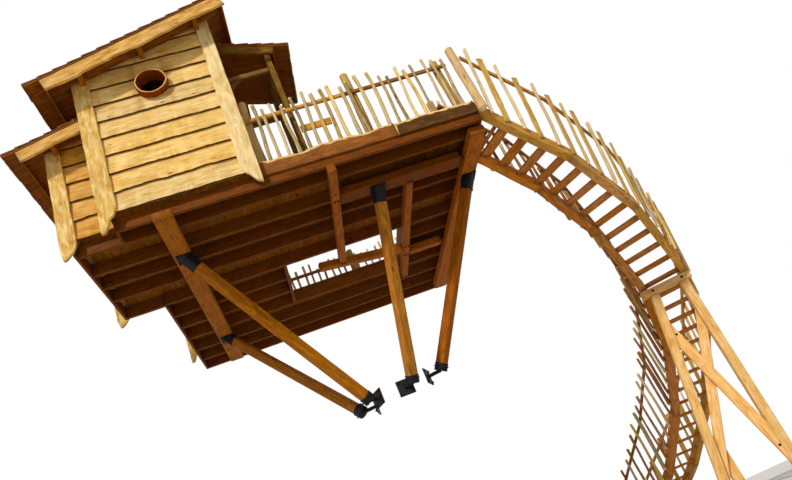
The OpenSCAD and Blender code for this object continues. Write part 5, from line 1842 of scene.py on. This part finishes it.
@dataclass
class Porch:
    """The small porch over the doorway."""

    y: Pair = (-2000.0, -600.0)
    run: float = 1050.0
    post_x: float = -350.0
    post_w: float = 90.0
    post_in: float = 40.0
    post_top: float = 5700.0
    # How far the boarding and the shakes pass the eave, the front and the back.
    board_over: Triple = (240.0, 52.0, 14.0)
    shake_over: Triple = (255.0, 60.0, 20.0)
    fascia_u: float = 185.0
    fascia_h: float = 185.0
    eave_h: float = 110.0
    tie_w: float = 60.0
    tie_z: float = 5355.0
    tie_h: float = 90.0
    plate_low: float = 5571.0
    brace_w: float = 60.0
    brace_h: float = 74.0
    # The brace is part of a circle: its radius, the turn of its ends, and how its middle lies.
    brace_r: float = 937.0
    brace_turn: Pair = (10.0, 62.0)
    brace_drop: float = 975.0
    brace_up: float = 70.0
    brace_in: float = 30.0

    def build(self) -> None:
        """Build the roof, the frame and the brace."""
        u1 = PORCH_SLOPE.length(self.run)
        spans = [span for low, front, back in (self.board_over, self.shake_over)
                 for span in ((0.0, u1 + low), (self.y[0] - front, self.y[1] + back))]
        roof = Roof("porch", PORCH_SLOPE, *spans, 810, turned=True)
        roof.build_boarding()
        roof.build_shakes()
        # The porch fascia takes the porch's darker finish, painted shade, not the fascias' own.
        timber = Timber("porch_fascia_timber", 815, Finish.PORCH, Finish.BOARDING)
        roof.waney_fascia(timber, self.fascia_u, u1, self.fascia_h, self.y[0], -1.0, 816, 16.0)
        roof.cross_board(timber, u1, *self.y, self.eave_h)
        timber.piece("waney_board", "porch_fascias")
        self.build_frame()
        self.build_brace()

    def build_frame(self) -> None:
        """Build the posts, the ties to the cabin and the plate on the posts."""
        timber = Timber("porch_post_timber", 818, Finish.PORCH)
        half = self.post_w / 2
        mid, tie = self.post_x + half, self.tie_z + self.tie_h / 2
        soffit = (PORCH_SLOPE.at(0.0, 0.0, -0.5), PORCH_SLOPE.out)
        for y in (self.y[0] + self.post_in + half, self.y[1] - self.post_in - half):
            timber.bar((mid, y, PLAN.floor), (mid, y, self.post_top), self.post_w, self.post_w, 6.0,
                       cuts=(None, soffit))
            timber.bar((PLAN.cab_x[1], y, tie), (self.post_x, y, tie), self.tie_w, self.tie_h)
        z0, z1 = self.plate_low, float(PORCH_SLOPE.soffit(mid + half)) - 1
        start, stop = ((mid, y, (z0 + z1) / 2) for y in self.y)
        timber.bar(start, stop, self.post_w, z1 - z0, 6.0)
        timber.piece("joist_timber", "porch_frame")

    def build_brace(self) -> None:
        """Build the brace from a naturally curved branch, squared on its sides."""
        brace = Timber("porch_brace_timber", 819, Finish.PORCH)
        turn = np.radians(np.linspace(*self.brace_turn, 14))
        low = self.tie_z - self.brace_drop * np.sin(turn[-1]) + self.brace_up
        path = np.column_stack([self.post_x - self.brace_in - self.brace_r * np.cos(turn),
                                np.full(14, self.y[0] + self.post_in + self.post_w / 2),
                                low + self.brace_r * np.sin(turn)])
        path = path[(path[:, 2] < self.tie_z - 1) & (path[:, 0] > PLAN.cab_x[1])]
        way = unit(np.gradient(path, axis=0))
        cuts = ((np.array([PLAN.cab_x[1] + 0.5, 0, 0]), ACROSS), (UP * (self.tie_z - 0.5), UP))
        brace.sweep(path, BACKWARD, np.cross(BACKWARD, way),
                    box_section(self.brace_w, self.brace_h, 12.0), cuts, 2.0)
        brace.piece("joist_timber", "porch_brace")


@dataclass
class Railings:
    """The deck's railings: crooked sticks, log posts and handrails."""

    rail_z: float = 4320.0
    rail_d: float = 70.0
    rail_t: float = 45.0
    rail_len: float = 2900.0
    # The handrails' outer face lies this far inside the rim boards' outer face.
    line: float = 62.24
    pitch: float = 156.0
    height: float = 1290.0
    stick_r: float = 26.0
    # Where the railings start, and how far short of the deck's corners they end.
    front_x0: float = -1050.0
    right_y0: float = -1037.0
    left_y0: float = 2725.3
    corner_gap: float = 60.0
    back_gap: float = 160.0
    board_x: Pair = (-270.0, 230.0)
    board_t: float = 25.0
    board_h: float = 132.0
    log_r: float = 72.0
    log_h: float = 1294.0
    # The two logs beside the porch stand taller. The right rail's logs go by y and height.
    tall_logs: Pair = (1570.0, 1576.0)
    tall_gap: float = 0.535
    corner_h: float = 1295.0
    right_logs: tuple[Pair, ...] = ((-1005.0, 1290.0), (1201.5, 1294.0))
    newel_r: float = 75.0
    newel_z: Pair = (3061.0, 4478.0)

    def row(self, timber: Timber, p: Pair, q: Pair, out: Pair) -> None:
        """Stand a row of sticks against the outer face of a handrail.

        Args:
            timber: the mesh that it goes into.
            p: one end of the row.
            q: the other end.
            out: the way out from the rail.
        """
        p, q, out = (np.array([*v, 0.0]) for v in (p, q, out))
        count = int(np.linalg.norm(q - p) / self.pitch)
        along = unit(q - p)
        rng = timber.rng
        for i in range(count + 1):
            radius = self.stick_r * rng.uniform(0.88, 1.28)
            foot = p + (q - p) * i / count + out * (radius + 1) + along * rng.uniform(-14, 14)
            high = self.height * rng.uniform(0.90, 1.05)
            top = foot + along * rng.uniform(-45, 45) + UP * high
            timber.stick(foot + UP * PLAN.floor, top + UP * PLAN.floor, radius, 22.0, 10, 0.86,
                         0.3, out)

    def rail(self, timber: Timber, p: Pair, q: Pair, first: int = 0) -> None:
        """Lay a handrail in one or more lengths.

        Args:
            timber: the mesh that it goes into.
            p: one end in plan.
            q: the other end.
            first: the number of the first length's finish.
        """
        p, q = (np.array([*v, self.rail_z - self.rail_d / 2]) for v in (p, q))
        parts = max(1, math.ceil(np.linalg.norm(q - p) / self.rail_len))
        for i in range(parts):
            a, b = p + (q - p) * i / parts, p + (q - p) * (i + 1) / parts
            timber.bar(a, b, self.rail_t, self.rail_d, 9.0, bow=4.0, step=160.0,
                       finish=0 if i else first)

    def build(self) -> None:
        """Build all the railings."""
        (x0, x1), (y0, y1), rim = PLAN.deck_x, PLAN.deck_y, PLAN.rim_t
        right, left = x1 + rim - self.line, x0 - rim + self.line
        front, back = y0 + self.line, y1 - self.line
        gap, end = self.corner_gap, y1 - self.back_gap
        for name, seed, p, q, out in (
                ("front", 910, (self.front_x0, front), (x1 - gap, front), (0, -1)),
                ("right", 920, (right, self.right_y0), (right, end), (1, 0)),
                ("back", 930, (x0 + gap, back), (x1 - gap, back), (0, 1)),
                ("left", 940, (left, self.left_y0 + 70), (left, end), (-1, 0))):
            timber = Timber(name + "_railing_sticks", seed, Finish.PALE_STICK, Finish.STICK)
            self.row(timber, p, q, out)
            timber.piece("peeled_sticks", name + "_railing")
        self.build_rails(front, back, right, left)
        self.build_posts()

    def build_rails(self, front: float, back: float, right: float, left: float) -> None:
        """Build the handrails, and the board on the front one.

        Args:
            front: y of the front rail's outer face.
            back: y of the back rail's.
            right: x of the right rail's.
            left: x of the left rail's.
        """
        rails = Timber("handrail_timber", 950, Finish.RAIL, Finish.HONEY)
        x0, x1, half = *PLAN.deck_x, self.rail_t / 2
        start, stop = ((x, front + self.board_t / 2,
                        PLAN.floor + 0.56 * (self.rail_z - PLAN.floor)) for x in self.board_x)
        rails.bar(start, stop, self.board_t, self.board_h, 4.0, finish=1)
        end = back - self.rail_t
        self.rail(rails, (PLAN.cab_x[1] + 1, front + half), (x1, front + half), 1)
        self.rail(rails, (right - half, self.right_y0 - 40), (right - half, end))
        self.rail(rails, (x0, back - half), (x1, back - half))
        self.rail(rails, (left + half, self.left_y0), (left + half, end))
        rails.piece("handrail_timber", "handrails")

    def build_posts(self) -> None:
        """Stand the log posts inside the handrails, and the newel beside the stair."""
        posts = Timber("railing_post_logs", 960, Finish.LOG)
        line = self.line + self.rail_t + self.log_r
        front, back = PLAN.deck_y[0] + line, PLAN.deck_y[1] - line
        inner, outer = (PLAN.deck_x[1] + PLAN.rim_t - line, PLAN.deck_x[0] - PLAN.rim_t + line)
        first = PLAN.cab_x[1] + 60 + 2 * self.log_r
        spots = [(first, front, self.tall_logs[0]),
                 (first + (inner - first) * self.tall_gap, front, self.tall_logs[1]),
                 (inner, front, self.corner_h)]
        spots += [(inner, y, high) for y, high in self.right_logs]
        spots += [(outer + (inner - outer) * i / 3, back, self.log_h) for i in range(4)]
        for x, y, high in spots:
            foot = np.array([x, y, PLAN.floor])
            path = posts.crooked(foot, foot + UP * high, 14.0, 10)
            posts.log(path, self.log_r * np.linspace(1.0, 0.92, 10), 16, 0.035)
        foot, top = (np.array([*Stair().newel(self.newel_r), z]) for z in self.newel_z)
        path = posts.crooked(foot, top, 6.0, 10)
        posts.log(path, self.newel_r * np.linspace(0.99, 0.94, 10), 18, 0.025)
        posts.piece("peeled_log", "railing_posts")


@dataclass
class Stair:
    """The curved stair: stringers, treads, sticks and rails."""

    half: float = 330.0
    string_t: float = 140.0
    string_h: float = 210.0
    string_up: float = 60.0
    # Every other length of stringer is this much deeper, so that the joints show.
    step_down: float = 9.0
    going: float = 300.0
    rise: float = 202.5
    treads: int = 31
    tread_w: float = 220.0
    tread_t: float = 40.0
    # The first tread is three narrow boards beside the deck.
    slat_w: float = 62.0
    slat_step: float = 66.0
    first_slat: float = 46.0
    clear: float = 2.0
    radius: float = 5186.0
    lead: float = 340.0
    turn: float = 22.8
    walk_x: float = 2442.0
    walk_y: float = -1667.0
    drop: float = 120.0
    newel_s: float = -150.0
    # The straight lengths strike a mean between lying on the curve's ends and on its middles.
    bow: float = 23.0
    flare: float = 7.5
    rail_up: float = 1110.0
    rail_t: float = 45.0
    rail_d: float = 70.0
    # The sticks stand this far apart along the walking line, from the first on.
    stick_step: float = 250.0
    first_stick: float = 25.0
    stick_foot: float = -40.0
    stick_h: float = 1360.0
    stick_r: float = 26.0
    slab_w: float = 100.0
    slab_t: float = 24.0
    # The stringers are straight lengths, which meet here along the walking line.
    joints: tuple[float, ...] = (-290.0, 1215.0, 2430.0, 3865.0, 5300.0, 6700.0, 8100.0, 9570.0)

    def heading(self, s: Array) -> Array:
        """The stair's direction in plan at a distance s along the walking line, in radians."""
        past = np.maximum(0.0, np.asarray(s, float) - self.lead)
        return math.radians(self.turn) + past / self.radius

    def beside(self, s: Array, off: Array, up: Array) -> Array:
        """Points beside the walking line.

        Args:
            s: distances along it.
            off: distances to its left.
            up: heights above the line of the treads.

        Returns:
            The points.
        """
        s = np.asarray(s, float)
        h, t = self.heading(s), math.radians(self.turn)
        lead = np.minimum(s, self.lead)
        x = self.walk_x + math.cos(t) * lead + self.radius * (np.sin(h) - math.sin(t))
        y = self.walk_y + math.sin(t) * lead + self.radius * (math.cos(t) - np.cos(h))
        z = PLAN.floor - self.drop - s * self.rise / self.going + up
        return np.stack(np.broadcast_arrays(x - np.sin(h) * off, y + np.cos(h) * off, z), axis=-1)

    def left_of(self, s: Array) -> Array:
        """The level direction to the left of the stair."""
        h = self.heading(s)
        return np.stack([-np.sin(h), np.cos(h), np.zeros_like(h)], axis=-1)

    def bend(self, s: Array) -> Array:
        """How far the straight lengths lie to the left of the curve.

        Args:
            s: distances along the walking line.

        Returns:
            The shift at each, about -23 mm at the joints and 23 mm between them.
        """
        s = np.asarray(s, float)
        ends = np.array(self.joints)
        i = np.clip(np.searchsorted(ends, s, side="right") - 1, 0, len(ends) - 2)
        a, b = self.beside(ends[i], 0.0, 0.0), self.beside(ends[i + 1], 0.0, 0.0)
        share = ((s - ends[i]) / (ends[i + 1] - ends[i]))[..., None]
        away = ((a + (b - a) * share - self.beside(s, 0.0, 0.0)) * self.left_of(s)).sum(-1)
        return away - self.bow

    def newel(self, radius: float) -> Pair:
        """The place of the newel log in plan.

        Args:
            radius: the log's radius.

        Returns:
            Its x and y.
        """
        p = self.beside(self.newel_s, -(self.half + self.string_t + radius + 0.3), 0.0)
        return float(p[0]), float(p[1])

    def strip(self, timber: Timber, off: float, wide: float, low: float, high: float, s0: float,
              s1: float, k: int, wave: float, finish: int, head: bool) -> None:
        """Add one length of a board that follows the stair, with plumb sides.

        Args:
            timber: the mesh that it goes into.
            off: its middle's distance to the left.
            wide: its width.
            low: its lower edge above the line of the treads.
            high: its upper edge.
            s0: where it starts.
            s1: where it ends.
            k: the seed of its waves.
            wave: the rise of its lower edge's waves.
            finish: the number of its finish.
            head: whether it starts at the deck, and is cut to it.
        """
        s = np.linspace(s0, s1, max(3, int((s1 - s0) / 150) + 1))
        path = self.beside(s, off + self.bend(np.minimum(s, s1 - 1.0)), (low + high) / 2)
        section = np.repeat(box_section(wide, high - low, 7.0)[None], len(s), axis=0)
        section[:, section[0, :, 1] < 0, 1] += ripple(s, wave, k, 700.0)[:, None]
        section[:, :, 1] = np.maximum(section[:, :, 1], (PLAN.ground + 1 - path[:, 2])[:, None])
        cut = (ACROSS * (PLAN.deck_x[1] + PLAN.rim_t + 1), ACROSS) if head else None
        timber.sweep(path, self.left_of(s), UP, section, (cut, None), 3.0, finish)

    def build_strings(self) -> None:
        """Build both stringers from butted lengths."""
        for name, sign, finish in (("outer", -1.0, 1), ("inner", 1.0, 0)):
            timber = Timber(f"stringer_{name}_timber", 1010 + int(sign), Finish.STAIR,
                            Finish.STAIR_FACE)
            off = sign * (self.half + self.string_t / 2)
            for i, (a, b) in enumerate(zip(self.joints, self.joints[1:])):
                low = self.string_up - self.string_h + 10.0 - self.step_down * (i % 2)
                start = 0.0 if i == 0 and sign > 0 else a
                self.strip(timber, off, self.string_t, low, self.string_up, start, b - 4, 1020 + i,
                           7.0, finish, i == 0)
            timber.piece("stair_larch", f"stringer_{name}")

    def build_treads(self) -> None:
        """Build the treads between the stringers. The deck's edge cuts the first ones."""
        timber = Timber("stair_tread_timber", 1030, Finish.STAIR)
        edge, reach = PLAN.deck_x[1] + PLAN.rim_t + 1, self.half - self.clear
        for j in range(3):
            s = self.first_slat + self.slat_step * j
            a, b = (self.beside(s, off, -self.tread_t / 2) for off in (-reach, reach))
            cut = (ACROSS * edge, ACROSS) if b[0] < edge < a[0] else None
            timber.bar(a, b, self.slat_w, self.tread_t, 4.0, cuts=(cut, None))
        for i in range(1, self.treads + 1):
            s = float(i * self.going)
            side = self.left_of(np.array(s)) * reach
            centre = self.beside(s, float(self.bend(s)), -self.tread_t / 2)
            timber.bar(centre - side, centre + side, self.tread_w, self.tread_t, wane=4.0)
        timber.piece("stair_larch", "stair_treads")

    def lean(self, s: float, sign: float, off: float, high: float,
             tilt: float) -> tuple[Array, Array]:
        """The foot and top of something that stands beside a stringer.

        Args:
            s: its place along the walking line.
            sign: -1 for the outer side and 1 for the inner side.
            off: its distance from the stringer's face.
            high: its length.
            tilt: how far it leans out, in degrees.

        Returns:
            Its foot and its top.
        """
        edge = self.half + self.string_t + off
        foot = self.beside(s, sign * edge + float(self.bend(s)), self.stick_foot)
        foot[2] = max(foot[2], PLAN.ground)
        a, out = math.radians(tilt), sign * self.left_of(np.array(s))
        return foot, foot + out * high * math.sin(a) + UP * high * math.cos(a)

    def build_sticks(self) -> None:
        """Stand the sticks along both stringers. The outer ones lean out, and every second one
        of them is a waney slab."""
        count = int(((self.treads + 0.9) * self.going - 300) / self.stick_step)
        # The sides' names, signs, first sticks, leans and shares of dark sticks, which carry
        # painted shade.
        for name, sign, first, tilt, dark in (("outer", -1.0, 0, self.flare, 0.1),
                                              ("inner", 1.0, 2, 0.0, 0.7)):
            timber = Timber(f"stair_sticks_{name}_wood", 1040 + int(sign), Finish.PALE_STICK,
                            Finish.DARK_STICK, Finish.SLAB)
            rng = timber.rng
            for i in range(first, count + 1):
                s = self.first_stick + self.stick_step * i
                left = self.left_of(np.array(s))
                high = self.stick_h * rng.uniform(0.90, 0.985)
                if sign < 0 and i % 2:
                    foot, top = self.lean(s, sign, self.slab_t / 2 + 1, high, tilt)
                    timber.bar(foot, top, self.slab_w * rng.uniform(1.05, 1.4), self.slab_t,
                               wane=9.0, bow=6.0, side=np.cross(-left, UP), finish=2, step=90.0)
                    continue
                swell = 1.7 if sign > 0 and i % 6 == 2 else rng.uniform(1.0, 1.2)
                radius = self.stick_r * rng.uniform(0.9, 1.05) * swell
                foot, top = self.lean(s, sign, radius + 2, high, tilt)
                top += np.cross(left, UP) * rng.uniform(-40, 40)
                timber.stick(foot, top, radius, 14.0, 9, 0.88, dark)
            timber.piece("peeled_sticks", f"stair_sticks_{name}")

    def build_rails(self) -> None:
        """Fit the rails along the stair, in the same straight lengths as the stringers."""
        timber = Timber("stair_rail_timber", 1050, Finish.RAIL, Finish.STAIR_FACE)
        edge, low, half = self.half + self.string_t, self.rail_up - self.rail_d, self.rail_t / 2
        # The outer rail lies where the leaning slabs pass its height.
        reach = low - self.stick_foot - 0.6 * self.slab_w * self.rise / self.going
        outer = -(edge + reach * math.tan(math.radians(self.flare)) - 2) + half
        for off, start, finish in ((outer, -60.0, 1), (edge - half, 10.0, 0)):
            for i, (a, b) in enumerate(zip((start,) + self.joints[1:], self.joints[1:])):
                self.strip(timber, off, self.rail_t, low, self.rail_up, a, b - 2, 1060 + i, 4.0,
                           finish, False)
        timber.piece("handrail_timber", "stair_rails")

    def build(self) -> None:
        """Build the stair."""
        self.build_strings()
        self.build_treads()
        self.build_sticks()
        self.build_rails()


@dataclass
class Trestle:
    """The trestle that carries the middle of the stair. Its legs and braces go by how far their
    middle lines lie from its own middle at the cap and at the ground."""

    s: float = 3865.0
    turn: float = 10.8
    leg_w: float = 155.0
    cap_top: float = 336.1
    cap_h: float = 135.0
    cap_len: float = 964.0
    legs: tuple = ((-266.0, -1046.0), (309.0, 175.0))
    braces: tuple = ((-543.0, 222.0), (549.0, -1102.0))
    brace_w: float = 184.0
    brace_t: float = 60.0
    # The short post stands behind the left leg's foot.
    post_at: float = -720.0
    post_w: float = 160.0
    post_d: float = 150.0
    post_h: float = 840.0

    def build(self) -> None:
        """Build cap, legs, braces, bolts and the short post by the left leg's foot."""
        stair = Stair()
        a = float(stair.heading(self.s)) - math.pi / 2 + math.radians(self.turn)
        u = np.array([math.cos(a), math.sin(a), 0.0])
        v = np.array([-math.sin(a), math.cos(a), 0.0])
        base = stair.beside(self.s, 0.0, 0.0) * (ACROSS + BACKWARD)
        low, half, mid = self.cap_top - self.cap_h, self.leg_w / 2, self.cap_top - self.cap_h / 2

        def at(du: float, dv: float, z: float) -> Array:
            """A point in the trestle's own plan."""
            return base + u * du + v * dv + UP * z

        cap = Timber("trestle_cap_timber", 1110, Finish.TRESTLE)
        cap.bar(at(-self.cap_len / 2, 0, mid), at(self.cap_len / 2, 0, mid), self.leg_w,
                self.cap_h, 10.0)
        cap.piece("trestle_larch", "trestle_cap")
        legs = Timber("trestle_leg_timber", 1120, Finish.TRESTLE)
        for top, foot in self.legs:
            legs.bar(at(top, 0, low - 0.5), at(foot, 0, PLAN.ground), self.leg_w, self.leg_w, 9.0,
                     side=u, top=v, bow=5.0)
        behind = half + self.post_d / 2 + 0.5
        legs.bar(at(self.post_at, behind, PLAN.ground),
                 at(self.post_at, behind, PLAN.ground + self.post_h), self.post_w, self.post_d,
                 9.0, side=u, top=v)
        legs.piece("trestle_larch", "trestle_legs")
        braces = Timber("trestle_brace_timber", 1130, Finish.TRESTLE)
        steel = Timber("trestle_bolt_steel", 1140, Finish.STEEL)

        def leg_face(leg: Pair, sign: float) -> tuple[Array, Array]:
            """The plane of a leg's inner face."""
            way = at(leg[1], 0, PLAN.ground) - at(leg[0], 0, low)
            return at(leg[0] + sign * half, 0, low), np.cross(unit(way), v)

        def meets(line: Pair, leg: Pair, sign: float) -> float:
            """The share of the way down at which a brace's middle line meets a leg's inner face."""
            return (leg[0] + sign * half - line[0]) / ((line[1] - line[0]) - (leg[1] - leg[0]))

        for line, way in zip(self.braces, (-1.0, 1.0)):
            depth = way * (half - self.brace_t / 2)
            ends = sorted((meets(line, leg, sign), leg, sign)
                          for leg, sign in zip(self.legs, (1.0, -1.0)))
            spots = [at(line[0] + (line[1] - line[0]) * t, depth, low + (PLAN.ground - low) * t)
                     for t, _, _ in ends]
            cuts = tuple(leg_face(leg, sign) for _, leg, sign in ends)
            # The stations lie so far apart that the raking cuts don't reach past one.
            braces.bar(*spots, self.brace_w, self.brace_t, 7.0, side=u, top=v, cuts=cuts, bow=2.0,
                       step=1000.0)
            for spot, (_, _, sign) in zip(spots, ends):
                steel.bolt(spot + v * way * 30 + u * sign * 30, v * way)
        for top, _ in self.legs:
            steel.bolt(at(top, -half, mid), -v, 30.0)
        braces.piece("trestle_larch", "trestle_braces")
        steel.piece("black_steel")


@dataclass
class Studio:
    """Floor, lamps, background and the camera that stands where the photograph was taken."""

    eye: Triple = (-1.5, -10.32, -3.06)
    lens_mm: float = 30.677
    sensor_mm: float = 36.0
    view_m: float = 200.0
    right: Triple = (0.92934413, -0.01091462, -0.36905333)
    down: Triple = (-0.3127474, 0.50799197, -0.80257911)
    ahead: Triple = (0.19623597, 0.86129265, 0.46868583)
    floor_m: float = 40.0
    key_from: Triple = (-0.42, -0.72, 0.66)
    key_strength: float = 2.7
    key_angle: float = 5.0
    key_colour: Triple = (1.0, 0.97, 0.92)
    sky_strength: float = 0.42

    def build_floor(self) -> None:
        """Lay the floor."""
        mesh = bpy.data.meshes.new("studio_floor")
        corners = square(2 * self.floor_m).tolist()
        mesh.from_pydata([(x, y, PLAN.ground * MM) for x, y in corners], [], [(0, 1, 2, 3)])
        mesh.materials.append(StudioFloor().material())
        floor = bpy.data.objects.new("studio_floor", mesh)
        bpy.context.scene.collection.objects.link(floor)
        floor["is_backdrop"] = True

    def build_light(self) -> None:
        """Set a soft key lamp and an even sky that the camera sees as white."""
        lamp = bpy.data.lights.new("key_lamp", "SUN")
        lamp.energy = self.key_strength
        lamp.angle = math.radians(self.key_angle)
        lamp.color = self.key_colour
        holder = bpy.data.objects.new("key_lamp", lamp)
        holder.rotation_euler = Vector(self.key_from).to_track_quat("Z", "Y").to_euler()
        bpy.context.scene.collection.objects.link(holder)
        world = bpy.data.worlds.new("studio_sky")
        bpy.context.scene.world = world
        world.use_nodes = True
        world.node_tree.nodes.clear()
        add = partial(add_node, world.node_tree)
        ray = add("LightPath", {}).outputs
        seen = add("Math", {
            "operation": "MAXIMUM", 0: ray["Is Camera Ray"], 1: ray["Is Glossy Ray"]})
        seen = add("Math", {"operation": "MAXIMUM", 0: seen, 1: ray["Is Transmission Ray"]})
        level = add("MapRange", {0: seen, 3: self.sky_strength, 4: 1.0})
        sky = add("Background", {"Color": "#ffffff", "Strength": level})
        add("OutputWorld", {"Surface": sky})

    def build_camera(self) -> None:
        """Set the camera."""
        data = bpy.data.cameras.new("camera")
        data.lens = self.lens_mm
        data.sensor_width = self.sensor_mm
        data.sensor_fit = "HORIZONTAL"
        data.clip_end = self.view_m
        camera = bpy.data.objects.new("camera", data)
        r, d, f = self.right, self.down, self.ahead
        camera.matrix_world = Matrix([[r[i], -d[i], -f[i], self.eye[i]] for i in range(3)]
                                     + [[0, 0, 0, 1]])
        bpy.context.scene.collection.objects.link(camera)
        bpy.context.scene.camera = camera

    def build(self) -> None:
        """Build the studio."""
        self.build_floor()
        self.build_light()
        self.build_camera()
        bpy.context.scene.view_settings.view_transform = "Standard"


def main() -> None:
    """Build the studio and the tree house."""
    logging.basicConfig(level=logging.INFO, format="%(message)s")
    Studio().build()
    Steelwork().build()
    Beams().build()
    Deck().build()
    Cabin().build()
    Roofs().build()
    Porch().build()
    Railings().build()
    Stair().build()
    Trestle().build()
    boxes = {"cad": [list(map(float, corner)) for corner in CAD_BOX],
             "visual": [list(map(float, corner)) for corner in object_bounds()]}
    LOG.info("boxes: %s", boxes)


if __name__ == "__main__":
    main()
